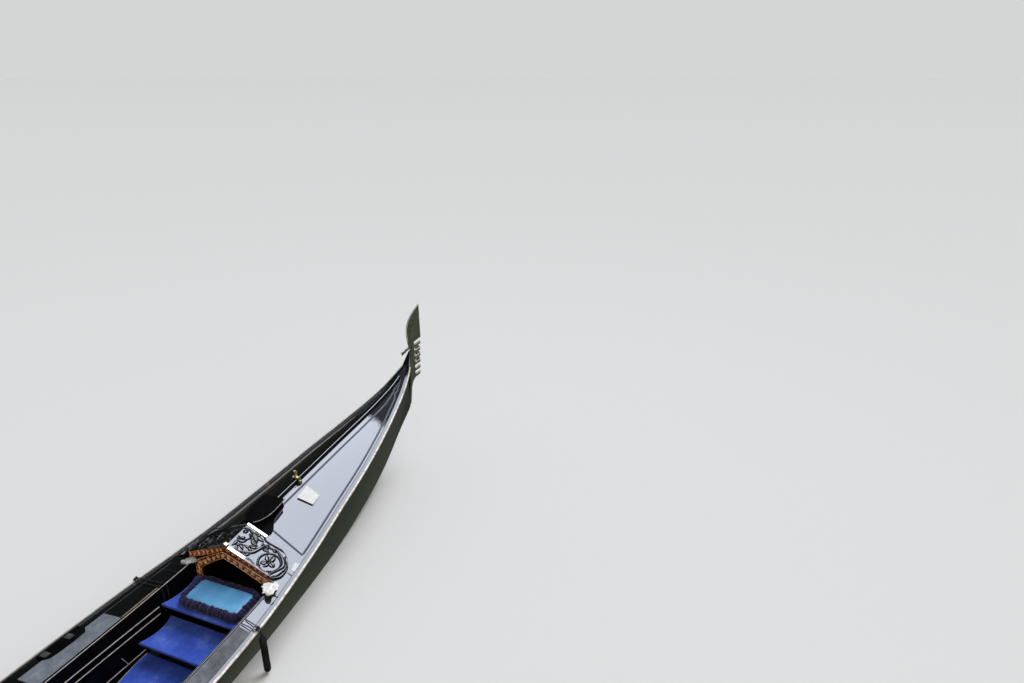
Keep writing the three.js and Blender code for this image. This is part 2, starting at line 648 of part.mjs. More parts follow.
// Small block at the aft peak of the hatch, and leaf brackets that lie over the coamings at its aft corners
const peakHull = hullAt(wellFore);
const peakZ = between(wellFore + 28, (hull) => camber(hull, 0)) + hatchThickness + trimRise + 3 * seating;
add('hatch_peak_block', 'brass', crossBoard(shapeOf([
  [-30, peakZ - 8], [0, peakZ], [30, peakZ - 8], [26, peakZ + 8], [0, peakZ + 20], [-26, peakZ + 8],
]), 26, wellFore + 2).translate(0, peakHull.middle, 0));

// Outline in plan: x before the well's fore end, and reach outboard of the coaming's middle
const leaf = [
  [-156, 30], [-151, -14], [-118, -34], [-94, -72], [-62, -80], [-34, -56], [-34, -6], [-8, -6], [-8, 24],
  [-26, 34], [-30, 58], [-72, 80], [-104, 66], [-126, 78], [-156, 70],
];
const leafThickness = 14;
function scrollBracket(sign) {
  const middle = wellAt(wellFore) + coaming / 2;
  const outline = shapeOf(leaf.map(([along, out]) => [wellFore + along, sign * (middle + out)]));
  const geometry = new THREE.ExtrudeGeometry(outline, { depth: leafThickness, bevelEnabled: false });
  return geometry.translate(0, 0, between(wellFore, (hull) => hull.sheer) + coamingRise + gap);
}
for (const [side, sign] of sides) add(`scroll_bracket_${side}`, 'steel', scrollBracket(sign));

// Passenger seat: a boxed base with a carved back and arms, small brass beasts and two loose cushions
const seat = { aft: -1420, fore: -860, half: 405, baseHalf: 315, top: 190, wall: 22, back: 24 };
const joint = 2;
const backFace = seat.aft + seat.back;
const seatFoot = between(seat.aft, boardTop) + gap;
const seatBase = cut(
  join(
    box(seat.aft, seat.fore, -seat.baseHalf, seat.baseHalf, seatFoot, seat.top - 5),
    box(seat.aft, seat.fore, -seat.half, seat.half, seat.top - seat.wall, seat.top),
  ),
  box(seat.aft + seat.wall, seat.fore - seat.wall, -seat.baseHalf + seat.wall, seat.baseHalf - seat.wall,
    seatFoot - 5, seat.top - seat.wall),
);
add('seat_cushion', 'blueLeather', box(-1395, -870, -372, 372, seat.top + gap, seat.top + 95));
const backShape = new THREE.Shape();
backShape.moveTo(-400, seat.top - joint);
backShape.lineTo(400, seat.top - joint);
backShape.lineTo(412, 560);
backShape.quadraticCurveTo(330, 640, 210, 650);
backShape.quadraticCurveTo(120, 780, 0, 800);
backShape.quadraticCurveTo(-120, 780, -210, 650);
backShape.quadraticCurveTo(-330, 640, -412, 560);
add('back_cushion', 'blueLeather', box(backFace + gap, seat.aft + 95, -350, 350, seat.top + 97, 600));

const armSpacing = 389;
const arm = new THREE.Shape();
arm.moveTo(backFace - joint, seat.top - joint);
arm.lineTo(-880, seat.top - joint);
arm.quadraticCurveTo(-850, 300, -900, 360);
arm.quadraticCurveTo(-960, 400, -1060, 380);
arm.quadraticCurveTo(-1250, 360, backFace - joint, 470);
const arms = sides.map(([, sign]) => uprightPlate(arm, 26, sign * armSpacing));
add('seat_frame', 'lacquer', join(seatBase, crossBoard(backShape, seat.back, seat.aft), ...arms));

for (const [side, sign] of sides) {
  const beast = new THREE.Shape();
  beast.moveTo(-60, 0);
  beast.lineTo(45, 0);
  beast.quadraticCurveTo(62, 45, 48, 85);
  beast.quadraticCurveTo(78, 110, 66, 138);
  beast.quadraticCurveTo(36, 168, 12, 128);
  beast.quadraticCurveTo(-6, 84, -36, 72);
  beast.quadraticCurveTo(-78, 84, -84, 128);
  beast.quadraticCurveTo(-110, 74, -76, 34);
  add(`brass_beast_${side}`, 'brass', uprightPlate(beast, 22, sign * armSpacing).translate(-970, 0, 387));
}

// Two low stools that face the seat, one each side of the well
const stoolTop = 214;
for (const [side, sign] of sides) {
  const y0 = sign > 0 ? 190 : -370;
  const hull = hullAt(-250);
  const foot = platformTop(hull) + 1;
  const legs = [[-330, y0], [-110, y0], [-330, y0 + 150], [-110, y0 + 150]];
  add(`stool_${side}`, 'lacquer', join(
    box(-340, -60, y0 - 5, y0 + 185, stoolTop - 24, stoolTop),
    ...legs.map(([x, y]) => box(x, x + 30, y, y + 30, foot, stoolTop - 22)),
  ));
  add(`stool_cushion_${side}`, 'blueLeather', box(-332, -68, y0 + 3, y0 + 177, stoolTop + gap, stoolTop + 48));
}

// Block on the starboard slope of the deck, from its reach along X and Y and its top at both ends
function deckBlock([aft, fore], [outer, inner], [topAft, topFore]) {
  return loft([[aft, topAft], [fore, topFore]].map(([x, top]) => {
    const foot = (y) => between(x, (hull) => camber(hull, hull.middle - y)) + gap;
    return [[outer, foot(outer)], [inner, foot(inner)], [inner, top], [outer, top]].map(([y, z]) => [x, y, z]);
  }));
}

// Rower's place: foot rest on the stern deck, oarlock socket on the starboard side and the oarlock in it
const socket = { x: -2830, half: 70, bore: 32, wall: 26, depth: 150 };
const socketHull = hullAt(socket.x);
const socketY = socketHull.middle - socketHull.half + capWidth + 78;
const socketAway = socketHull.middle - socketY;
const socketTop = camber(socketHull, socketAway) + 64;
const boreFoot = camber(socketHull, socketAway - 60) + 14;
const flatTop = [socketTop, socketTop];
add('oarlock_socket', 'lacquer', cut(
  deckBlock([socket.x - socket.half, socket.x + socket.half], [socketY - 58, socketY + 58], flatTop),
  box(socket.x - socket.bore, socket.x + socket.bore, socketY - 26, socketY + 26, boreFoot, socketTop + 5),
));
const oarlock = new THREE.Shape();
const lockZ = socketTop;
oarlock.moveTo(-24, boreFoot + gap);
oarlock.lineTo(24, boreFoot + gap);
oarlock.lineTo(26, lockZ + 20);
oarlock.quadraticCurveTo(60, lockZ + 110, 30, lockZ + 190);
oarlock.quadraticCurveTo(10, lockZ + 250, 66, lockZ + 300);
oarlock.quadraticCurveTo(110, lockZ + 340, 96, lockZ + 392);
oarlock.quadraticCurveTo(70, lockZ + 350, 40, lockZ + 352);
oarlock.quadraticCurveTo(10, lockZ + 372, 0, lockZ + 430);
oarlock.quadraticCurveTo(-30, lockZ + 452, -62, lockZ + 430);
oarlock.quadraticCurveTo(-58, lockZ + 330, -84, lockZ + 252);
oarlock.quadraticCurveTo(-70, lockZ + 120, -24, lockZ + 20);
add('oarlock', 'walnut', uprightPlate(oarlock, 44, socketY).translate(socket.x, 0, 0));

const rest = { x: -3420, half: 130, outer: -168, inner: -72 };
const restHull = hullAt(rest.x);
const restDeck = camber(restHull, rest.inner);
add('foot_rest', 'walnut', deckBlock(
  [rest.x - rest.half, rest.x + rest.half], [restHull.middle + rest.outer, restHull.middle + rest.inner],
  [restDeck + 90, restDeck + 22],
));

export default boat;
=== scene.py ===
import json
import math
from types import SimpleNamespace
import bmesh
import bpy
import numpy as np
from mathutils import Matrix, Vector

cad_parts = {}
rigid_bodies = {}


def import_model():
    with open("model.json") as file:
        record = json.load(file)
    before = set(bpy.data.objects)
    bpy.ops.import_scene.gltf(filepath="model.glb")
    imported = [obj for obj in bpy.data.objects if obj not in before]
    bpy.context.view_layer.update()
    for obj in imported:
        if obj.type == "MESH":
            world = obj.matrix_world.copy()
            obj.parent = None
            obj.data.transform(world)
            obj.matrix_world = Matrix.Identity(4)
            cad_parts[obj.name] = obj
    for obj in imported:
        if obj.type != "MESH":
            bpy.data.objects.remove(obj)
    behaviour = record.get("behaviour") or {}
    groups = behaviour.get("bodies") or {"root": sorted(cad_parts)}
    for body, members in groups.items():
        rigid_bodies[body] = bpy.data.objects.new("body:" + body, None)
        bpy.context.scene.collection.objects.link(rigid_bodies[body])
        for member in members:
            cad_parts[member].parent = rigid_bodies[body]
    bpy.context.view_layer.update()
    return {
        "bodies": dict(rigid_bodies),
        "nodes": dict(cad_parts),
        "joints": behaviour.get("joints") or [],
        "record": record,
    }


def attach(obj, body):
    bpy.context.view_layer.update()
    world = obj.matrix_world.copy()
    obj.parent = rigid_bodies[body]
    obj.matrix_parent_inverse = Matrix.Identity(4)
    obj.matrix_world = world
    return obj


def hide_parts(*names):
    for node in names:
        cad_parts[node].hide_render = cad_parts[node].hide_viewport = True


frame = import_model()
scene = bpy.context.scene
hands = {"port": 1, "starboard": -1}

# Above the starboard side, aft of the steps, looking towards the bow
viewpoint = {"place": (-1.377, -3.853, 4.324), "tilt": 68.8, "heading": -68.55, "lens": 24.12, "film": 36}


def setViewpoint(look):
    data = bpy.data.cameras.new("viewpoint")
    data.lens = look["lens"]
    data.sensor_width = look["film"]
    data.clip_end = 2000
    camera = bpy.data.objects.new("viewpoint", data)
    camera.location = look["place"]
    camera.rotation_euler = (math.radians(look["tilt"]), 0, math.radians(look["heading"]))
    scene.collection.objects.link(camera)
    scene.camera = camera


setViewpoint(viewpoint)
scene.view_settings.view_transform = "Standard"
print("viewpoint set")

# Lines of the hull. Columns, mm: x, gunwale height, half breadth, underside,
# half width of the bottom, rise of the deck's ridge over the gunwale.
hullLines = np.array([
    [-5060, 1135, 62, 625, 26, 14], [-4998, 1095, 84, 585, 32, 20], [-4785, 985, 150, 465, 50, 42],
    [-4495, 870, 220, 315, 92, 64], [-4205, 780, 288, 205, 142, 84], [-3635, 645, 402, 84, 238, 112],
    [-3055, 540, 500, 4, 322, 128], [-2475, 462, 588, -52, 388, 136], [-1605, 402, 676, -100, 452, 140],
    [0, 376, 722, -125, 480, 140], [1605, 412, 676, -98, 450, 205], [2475, 484, 561, -48, 385, 222],
    [3055, 581, 474, 8, 318, 196], [3635, 691, 389, 85, 235, 158], [4205, 815, 277, 205, 140, 104],
    [4495, 892, 210, 310, 90, 74], [4785, 992, 141, 458, 48, 44], [4998, 1108, 82, 582, 32, 22],
    [5060, 1152, 58, 622, 26, 14],
]) / 1000
build = {
    "halfLength": 5.425, "plankEnd": 5.06, "lean": 0.09, "plank": 0.018, "waleProud": 0.022,
    "waleDepth": 0.06, "capWidth": 0.05, "capDrop": 0.012, "swell": 0.014, "deck": 0.014, "deckDrop": 0.005,
    "gap": 0.0004, "wellFore": 2.105, "wellAft": -2.5, "wellHalf": 0.45, "wellTaper": 0.05,
    "coaming": 0.018, "coamingRise": 0.038, "sideDeckRise": 0.03, "hatchFore": 2.405,
    "starboardDepth": 0.13, "broadest": 0.722, "frame": 0.045, "floorBoard": 0.014,
}


def hullAt(x):
    xs = hullLines[:, 0]
    i = int(np.clip(np.searchsorted(xs, x, side="right"), 1, len(xs) - 1))
    before = i - 2 if i > 1 else i
    after = i + 1 if i + 1 < len(xs) else i - 1
    half = (xs[i] - xs[i - 1]) / 2
    early = half / (xs[i - 1] - xs[before])
    late = half / (xs[after] - xs[i])
    p = (x - xs[i - 1]) / (xs[i] - xs[i - 1])
    rows = ((before, early * (-p**3 + 2 * p**2 - p)),
            (i - 1, (1 + early) * p**3 - (1.5 + 2 * early) * p**2 + (early - 0.5) * p + 1),
            (i, -(1 + late) * p**3 + (1.5 + late) * p**2 + 0.5 * p),
            (after, late * (p**3 - p**2)))
    row = sum(weight * hullLines[k] for k, weight in rows)
    middle = build["lean"] * (1 - (x / build["halfLength"]) ** 2)
    return SimpleNamespace(x=x, sheer=row[1], half=row[2], keel=row[3], floor=row[4], ridge=row[5],
                           middle=middle)


def skin(h, z):
    # Half width of the side at height z; its swell is given for the broadest section
    t = (z - h.keel) / (h.sheer - h.keel)
    straight = h.floor + (h.half - build["waleProud"] - h.floor) * t
    return straight + build["swell"] * h.half / build["broadest"] * 4 * t * (1 - t)


def camber(h, y):
    return h.sheer - build["deckDrop"] + h.ridge * (1 - abs(y) / (h.half - build["capWidth"]))


def wellAt(x):
    return build["wellHalf"] - build["wellTaper"] * (x / build["wellAft"]) ** 2


def wellEdge(h, side):
    return wellAt(h.x) - side * h.middle


def sideDeckTop(h, share):
    return h.sheer - build["deckDrop"] + build["sideDeckRise"] * share


def sideDeckReach(h, side):
    # How far from the middle line a side deck begins at the coaming and ends at the gunwale
    return wellEdge(h, side) + build["coaming"], h.half - build["capWidth"]


def run(first, last, step):
    return np.linspace(first, last, max(2, int(round(abs(last - first) / step)) + 1))


# Floor at the waterline, cut away where the boat floats in it. Two broad suns light whatever is
# not shiny, evenly out to the horizon; the softboxes are there only to be mirrored.
floorLook = {"reach": 900, "colour": "#d6d6d3"}
suns = {
    "daylight": {"azimuth": -15, "rise": 56, "spread": 42, "strength": 2.5, "colour": "#f4f6ff"},
    "fill": {"azimuth": 236, "rise": 38, "spread": 70, "strength": 0.9, "colour": "#fff4e6"},
}
softboxes = {
    "key": {"azimuth": -6, "rise": 51, "away": 14, "size": (10, 9), "strength": 7.0, "colour": "#dfe6f6"},
    "behind": {"azimuth": 238, "rise": 50, "away": 12, "size": (8, 7), "strength": 2.2,
               "colour": "#fff6ea"},
    "port": {"azimuth": 118, "rise": 62, "away": 14, "size": (9, 3), "strength": 1.0, "colour": "#eef2ff"},
    "aft": {"azimuth": 180, "rise": 48, "away": 15, "size": (10, 5), "strength": 1.4, "colour": "#eef2ff"},
}
worldLook = {"ambient": "#dfe3e6", "ambientStrength": 0.42, "seen": "#d4d6d5", "reflected": "#4a4c44",
             "reflectedStrength": 0.32, "below": "#72796b", "belowStrength": 0.42}


def linear(code, alpha=1.0):
    parts = [int(code[i:i + 2], 16) / 255 for i in (1, 3, 5)]
    return tuple(c / 12.92 if c <= 0.04045 else ((c + 0.055) / 1.055) ** 2.4 for c in parts) + (alpha,)


def addNode(tree, kind, inputs=None, stops=(), **settings):
    node = tree.nodes.new(kind)
    for key, value in settings.items():
        setattr(node, key, value)
    for key, value in (inputs or {}).items():
        if isinstance(value, bpy.types.NodeSocket):
            tree.links.new(value, node.inputs[key])
        else:
            node.inputs[key].default_value = value
    if stops:
        ramp = node.color_ramp.elements
        while len(ramp) < len(stops):
            ramp.new(0.5)
        for element, (spot, code) in zip(ramp, stops):
            element.position = spot
            element.color = linear(code)
    return node


def aimLamp(name, data, look, away):
    data.color = linear(look["colour"])[:3]
    lamp = bpy.data.objects.new(name, data)
    azimuth, rise = math.radians(look["azimuth"]), math.radians(look["rise"])
    aim = Vector((math.cos(azimuth) * math.cos(rise), math.sin(azimuth) * math.cos(rise), math.sin(rise)))
    lamp.location = aim * away
    lamp.rotation_euler = aim.to_track_quat("Z", "Y").to_euler()
    lamp.visible_camera = False
    scene.collection.objects.link(lamp)
    return lamp


def setLights():
    for name, look in suns.items():
        data = bpy.data.lights.new(name, "SUN")
        data.energy, data.angle = look["strength"], math.radians(look["spread"])
        aimLamp(name, data, look, 20).visible_glossy = False
    for name, look in softboxes.items():
        data = bpy.data.lights.new(f"{name} softbox", "AREA")
        data.shape = "RECTANGLE"
        data.size, data.size_y = look["size"]
        data.energy = look["strength"] * math.pi * data.size * data.size_y
        aimLamp(f"{name} softbox", data, look, look["away"]).visible_diffuse = False


def setStage():
    xs = [x for x in run(-3.4, 3.4, 0.02) if hullAt(x).keel < 0]
    outline = [(x, hullAt(x).middle + skin(hullAt(x), 0)) for x in xs]
    outline += [(x, hullAt(x).middle - skin(hullAt(x), 0)) for x in reversed(xs)]
    reach = floorLook["reach"]
    bm = bmesh.new()
    for ring in (outline, [(-reach, -reach), (reach, -reach), (reach, reach), (-reach, reach)]):
        verts = [bm.verts.new((x, y, 0)) for x, y in ring]
        for a, b in zip(verts, verts[1:] + verts[:1]):
            bm.edges.new((a, b))
    bmesh.ops.triangle_fill(bm, edges=bm.edges[:], use_beauty=True, normal=(0, 0, 1))
    mesh = bpy.data.meshes.new("floor")
    bm.to_mesh(mesh)
    bm.free()
    floor = bpy.data.objects.new("floor", mesh)
    scene.collection.objects.link(floor)
    floor.visible_glossy = False
    matte = bpy.data.materials.new("matte studio floor")
    matte.use_nodes = True
    matte.node_tree.nodes["Principled BSDF"].inputs["Base Color"].default_value = linear(floorLook["colour"])
    matte.node_tree.nodes["Principled BSDF"].inputs["Roughness"].default_value = 0.9
    mesh.materials.append(matte)
    setLights()
    world = bpy.data.worlds.new("studio")
    world.use_nodes = True
    scene.world = world
    tree = world.node_tree
    tree.nodes.clear()
    rays = addNode(tree, "ShaderNodeLightPath")
    glows = []
    for shade in ("ambient", "reflected", "below", "seen"):
        strength = worldLook.get(f"{shade}Strength", 1.0)
        glow = addNode(tree, "ShaderNodeBackground",
                       {"Color": linear(worldLook[shade]), "Strength": strength})
        glows.append(glow.outputs[0])
    height = addNode(tree, "ShaderNodeSeparateXYZ",
                     {0: addNode(tree, "ShaderNodeTexCoord").outputs["Generated"]}).outputs[2]
    down = addNode(tree, "ShaderNodeMapRange", {"Value": height, "From Min": -0.02, "From Max": -0.22})
    gloss = addNode(tree, "ShaderNodeMixShader", {0: down.outputs[0], 1: glows[1], 2: glows[2]})
    inGloss = addNode(tree, "ShaderNodeMixShader",
                      {0: rays.outputs["Is Glossy Ray"], 1: glows[0], 2: gloss.outputs[0]})
    mix = addNode(tree, "ShaderNodeMixShader",
                  {0: rays.outputs["Is Camera Ray"], 1: inGloss.outputs[0], 2: glows[3]})
    addNode(tree, "ShaderNodeOutputWorld", {"Surface": mix.outputs[0]})


setStage()
print("floor and lights set")


# Finishes. Patterns are given by the size in mm of one grain, thread or tuft.
def startFinish(name, values):
    material = bpy.data.materials.new(name)
    material.use_nodes = True
    tree = material.node_tree
    shader = tree.nodes["Principled BSDF"]
    for socket, value in values.items():
        shader.inputs[socket].default_value = value
    place = addNode(tree, "ShaderNodeTexCoord").outputs["Object"]
    return material, tree, shader, place


def feed(tree, shader, **links):
    for socket, source in links.items():
        tree.links.new(source, shader.inputs[socket.replace("_", " ")])


def noise(tree, place, size, detail, roughness=0.5, distortion=0.0):
    inputs = {"Vector": place, "Scale": 1000 / size, "Detail": detail, "Roughness": roughness,
              "Distortion": distortion}
    return addNode(tree, "ShaderNodeTexNoise", inputs).outputs[0]


def cells(tree, place, size, **settings):
    return addNode(tree, "ShaderNodeTexVoronoi", {"Vector": place, "Scale": 1000 / size},
                   **settings).outputs[0]


def stretched(tree, place, scale):
    return addNode(tree, "ShaderNodeMapping", {"Vector": place, "Scale": scale}).outputs[0]


def marked(tree, name):
    return addNode(tree, "ShaderNodeAttribute", attribute_name=name).outputs["Fac"]


def ramp(tree, value, spots, colours):
    return addNode(tree, "ShaderNodeValToRGB", {0: value}, list(zip(spots, colours))).outputs[0]


def mapped(tree, value, low, high, first=0.0, last=1.0):
    # Carries the values from first to last over to those from low to high
    inputs = {"Value": value, "From Min": first, "From Max": last, "To Min": low, "To Max": high}
    return addNode(tree, "ShaderNodeMapRange", inputs).outputs[0]


def calculate(tree, operation, *values):
    return addNode(tree, "ShaderNodeMath", dict(enumerate(values)), operation=operation).outputs[0]


def mixColours(tree, share, first, second):
    return addNode(tree, "ShaderNodeMix", {0: share, 6: first, 7: second}, data_type="RGBA").outputs[2]


def relieved(tree, height, strength, distance, sunk=False, over=None):
    # Bump from a height, in metres; over is the bump it lies on
    inputs = {"Strength": strength, "Distance": distance, "Height": height}
    if over is not None:
        inputs["Normal"] = over
    return addNode(tree, "ShaderNodeBump", inputs, invert=sunk).outputs[0]


def makeLacquer(name="hand-rubbed black boat lacquer", dullFrom=None):
    # Many coats of black gloss, rubbed down by hand: a near mirror with a slow ripple and a film of dust
    material, tree, shader, place = startFinish(name, {
        "IOR": 1.5, "Coat Weight": 1.0, "Coat Roughness": 0.03, "Coat IOR": 1.6})
    cloud = noise(tree, place, 260, 6, 0.65)
    film = calculate(tree, "MULTIPLY", cloud, noise(tree, place, 5, 2))
    gloss = mapped(tree, film, 0.06, 0.17, 0.15, 0.4)
    ripple = relieved(tree, noise(tree, place, 150, 1), 0.25, 0.002)
    peel = relieved(tree, noise(tree, place, 9, 1), 0.12, 0.0004, over=ripple)
    if dullFrom:
        # Handled every day at the bow, so the gloss is gone there, with a wandering edge
        bow = addNode(tree, "ShaderNodeSeparateXYZ", {0: place}).outputs[0]
        drift = calculate(tree, "MULTIPLY_ADD", cloud, 0.35, bow)
        dull = mapped(tree, drift, 0, 1, dullFrom + 0.15, dullFrom + 0.26)
        gloss = addNode(tree, "ShaderNodeMix", {0: dull, 2: gloss, 3: 0.92}).outputs[0]
        feed(tree, shader, Coat_Weight=mapped(tree, dull, 1, 0))
    feed(tree, shader, Base_Color=ramp(tree, film, (0.16, 0.42), ("#060708", "#15171a")), Roughness=gloss,
         Normal=peel, Coat_Normal=ripple)
    return material


def makeCarvedLacquer():
    # The same lacquer over carving: as bright as the deck on the ground and crowns, with painted shade in
    # the cuts, dead black there and without gloss
    material, tree, shader, place = startFinish("black lacquer over carving", {
        "IOR": 1.5, "Coat Roughness": 0.04, "Coat IOR": 1.6})
    depth = marked(tree, "cut_shade")
    feed(tree, shader, Base_Color=ramp(tree, depth, (0.0, 0.5), ("#0b0c0e", "#050506")),
         Roughness=mapped(tree, depth, 0.1, 0.75), Coat_Weight=mapped(tree, depth, 1, 0, 0, 0.6),
         Normal=relieved(tree, noise(tree, place, 8, 4), 0.2, 0.0005))
    return material


def knocked(tree, place, first, last):
    # Sparse worn patches, in the same places for every finish that asks for them
    return mapped(tree, noise(tree, place, 130, 7, 0.6), 0, 1, first, last)


def makeWornCap():
    # Gunwale lacquer, knocked through to red-brown wood where the edge is rubbed
    material, tree, shader, place = startFinish("rubbed gunwale lacquer", {
        "IOR": 1.5, "Coat Weight": 0.6, "Coat Roughness": 0.05, "Coat IOR": 1.6})
    bare = calculate(tree, "MULTIPLY", marked(tree, "rubbed"), knocked(tree, place, 0.66, 0.69))
    wood = ramp(tree, noise(tree, place, 4, 3), (0.3, 0.7), ("#5c3420", "#a8714c"))
    feed(tree, shader, Base_Color=mixColours(tree, bare, linear("#08090a"), wood),
         Roughness=mapped(tree, bare, 0.12, 0.62), Normal=relieved(tree, bare, 0.5, 0.0012, True))
    return material


def makeInsidePaint():
    # Black oil paint brushed on inside the boat: flat and scuffed, so it mirrors nothing
    material, tree, shader, place = startFinish("flat black oil paint", {
        "IOR": 1.45, "Specular IOR Level": 0.04})
    scuff = noise(tree, place, 70, 8, 0.7)
    feed(tree, shader, Base_Color=ramp(tree, scuff, (0.4, 0.7), ("#050506", "#0f0f11")),
         Roughness=mapped(tree, scuff, 0.42, 0.7), Normal=relieved(tree, scuff, 0.3, 0.0006))
    return material


def makeLineEnamel():
    # Cream enamel line along the gunwale's edge, chipped down to rust-brown wood in patches
    material, tree, shader, place = startFinish("chipped cream enamel line", {"IOR": 1.5})
    bare = knocked(tree, place, 0.635, 0.66)
    cream = ramp(tree, noise(tree, place, 35, 6), (0.35, 0.6), ("#b5aa98", "#ebe5da"))
    feed(tree, shader, Base_Color=mixColours(tree, bare, cream, linear("#8a5532")),
         Roughness=mapped(tree, bare, 0.35, 0.7), Normal=relieved(tree, bare, 0.4, 0.0008, True))
    return material


def makePitch():
    # Bottom paint over tar: dull black, with a green-brown weed line just over the waterline
    material, tree, shader, place = startFinish("black bottom paint over tar", {"IOR": 1.45})
    height = addNode(tree, "ShaderNodeSeparateXYZ", {0: place}).outputs[2]
    wander = noise(tree, place, 70, 6)
    weed = ramp(tree, calculate(tree, "MULTIPLY_ADD", wander, -0.05, height), (0.0, 0.03, 0.08),
                ("#2b2f1c", "#14160f", "#0d0e0f"))
    feed(tree, shader, Base_Color=weed, Roughness=mapped(tree, wander, 0.35, 0.65),
         Normal=relieved(tree, wander, 0.5, 0.001))
    return material


def makeMetal(name, colours, gloss, streak, grit):
    # Polished by hand: fine streaks in the relief, cloudy finger marks in tint and gloss
    material, tree, shader, place = startFinish(name, {"Metallic": 1.0})
    hair = noise(tree, stretched(tree, place, (1, 1, streak)), grit, 3)
    cloud = noise(tree, place, 45, 5)
    feed(tree, shader, Base_Color=ramp(tree, cloud, (0.35, 0.65), colours),
         Roughness=mapped(tree, cloud, *gloss, 0.3, 0.7), Normal=relieved(tree, hair, 0.15, 0.0002))
    return material


def makeWood(name, colours, ring, gloss, along=0):
    # Straight-grained board, oiled: long growth bands across the grain and short dark pores
    material, tree, shader, place = startFinish(name, {
        "IOR": 1.5, "Coat Weight": 0.15, "Coat Roughness": 0.25})
    grain = stretched(tree, place, [0.06 if axis == along else 1.0 for axis in range(3)])
    bands = noise(tree, grain, ring, 5, distortion=0.6)
    both = calculate(tree, "MULTIPLY_ADD", noise(tree, grain, ring / 6, 2), 0.35, bands)
    feed(tree, shader, Base_Color=ramp(tree, both, (0.45, 0.62, 0.85), colours),
         Roughness=mapped(tree, both, gloss[1], gloss[0]), Normal=relieved(tree, both, 0.35, 0.0005))
    return material


def makeGilding():
    # Carved mahogany, red-brown in the cuts, with worn gold leaf on the crowns of the scrolls
    material, tree, shader, place = startFinish("carved mahogany with worn gold leaf", {
        "IOR": 1.5, "Coat Weight": 0.3, "Roughness": 0.34})
    wear = noise(tree, place, 11, 6)
    leaf = calculate(tree, "MULTIPLY", marked(tree, "carved"), wear)
    tint = ramp(tree, leaf, (0.06, 0.15, 0.3, 0.42), ("#260a04", "#a83e10", "#e07e26", "#fae0a0"))
    feed(tree, shader, Base_Color=tint, Metallic=mapped(tree, leaf, 0, 0.35, 0.42, 0.6),
         Normal=relieved(tree, wear, 0.4, 0.0008))
    return material


def makeCloth(name, colours, pile, values, depth=0.0012, patch=120):
    # Cut pile or woven cloth: soft at the edges, lighter and darker where the pile lies the other way
    material, tree, shader, place = startFinish(name, values)
    tuft = cells(tree, place, pile)
    shade = calculate(tree, "MULTIPLY_ADD", tuft, -0.22, noise(tree, place, patch, 7, 0.7))
    feed(tree, shader, Base_Color=ramp(tree, shade, (0.2, 0.42, 0.62), colours),
         Normal=relieved(tree, tuft, 0.6, depth, True))
    return material


def makeSatin():
    # Satin weave: long floats across the panel give a broad soft sheen, over cloudy fading
    material, tree, shader, place = startFinish("pale blue satin", {
        "Roughness": 0.42, "Sheen Weight": 0.5, "Sheen Roughness": 0.4, "Specular IOR Level": 0.55})
    floats = noise(tree, stretched(tree, place, (1, 0.05, 1)), 1.6, 2)
    tint = ramp(tree, noise(tree, place, 210, 5), (0.3, 0.52, 0.75), ("#3a7bab", "#468cbc", "#66a6cf"))
    feed(tree, shader, Base_Color=tint, Normal=relieved(tree, floats, 0.3, 0.0004))
    return material


def makeLeather():
    # Dyed hide with a pebbled grain, worn paler in patches
    material, tree, shader, place = startFinish("royal blue dyed leather", {
        "Roughness": 0.42, "Specular IOR Level": 0.5, "Coat Weight": 0.15, "Coat Roughness": 0.3})
    tint = ramp(tree, noise(tree, place, 60, 8), (0.3, 0.55, 0.8), ("#14235f", "#1f3585", "#35509e"))
    pebble = cells(tree, place, 3.2, feature="SMOOTH_F1")
    feed(tree, shader, Base_Color=tint, Normal=relieved(tree, pebble, 0.5, 0.0006, True))
    return material


def makeMatting(name, colours):
    # Moulded rubber, scuffed grey underfoot, with a fine grit in it
    material, tree, shader, place = startFinish(name, {"Roughness": 0.7, "Specular IOR Level": 0.35})
    scuff = noise(tree, place, 90, 8, 0.7)
    feed(tree, shader, Base_Color=ramp(tree, scuff, (0.3, 0.55, 0.75), colours),
         Normal=relieved(tree, noise(tree, place, 2.5, 2), 0.5, 0.0006))
    return material


def makeEnamel(name, colours, rough):
    # Brushed enamel: near flat, with faint brush marks and grime in the low spots
    material, tree, shader, place = startFinish(name, {"Roughness": rough, "IOR": 1.5})
    marks = noise(tree, stretched(tree, place, (0.2, 1, 1)), 7, 4)
    feed(tree, shader, Base_Color=ramp(tree, marks, (0.3, 0.6), colours),
         Normal=relieved(tree, marks, 0.2, 0.0003))
    return material


lacquer = makeLacquer()
bowLacquer = makeLacquer("black boat lacquer, dulled by hands at the bow", 4.2)
carvedLacquer = makeCarvedLacquer()
wornCap = makeWornCap()
pitch = makePitch()
insidePaint = makeInsidePaint()
lineEnamel = makeLineEnamel()
bladeSteel = makeMetal("polished forged steel", ("#b2b49f", "#d6d7c3"), (0.34, 0.52), 0.15, 3)
nickel = makeMetal("polished nickel silver", ("#dcdcda", "#efefec"), (0.22, 0.42), 0.5, 2)
brass = makeMetal("polished cast brass", ("#b98d3c", "#e2bd62"), (0.16, 0.34), 0.5, 2)
bronze = makeMetal("greyed bronze", ("#6e6450", "#9a8f74"), (0.3, 0.5), 0.5, 3)
tarredOak = makeWood("tarred oak boards", ("#080706", "#14100c", "#221a12"), 14, (0.5, 0.75))
walnut = makeWood("oiled walnut", ("#2a1810", "#4f3020", "#7a5236"), 10, (0.3, 0.5), 2)
gilding = makeGilding()
carpet = makeCloth("royal blue cut-pile carpet", ("#213c9c", "#3153bb", "#6080d2"), 3.5, {
    "Roughness": 0.92, "Sheen Weight": 0.25, "Sheen Roughness": 0.5, "Specular IOR Level": 0.2}, patch=200)
binding = makeCloth("navy carpet binding", ("#0c1038", "#161c55", "#222a6c"), 1.5, {"Roughness": 0.85},
                    0.0006)
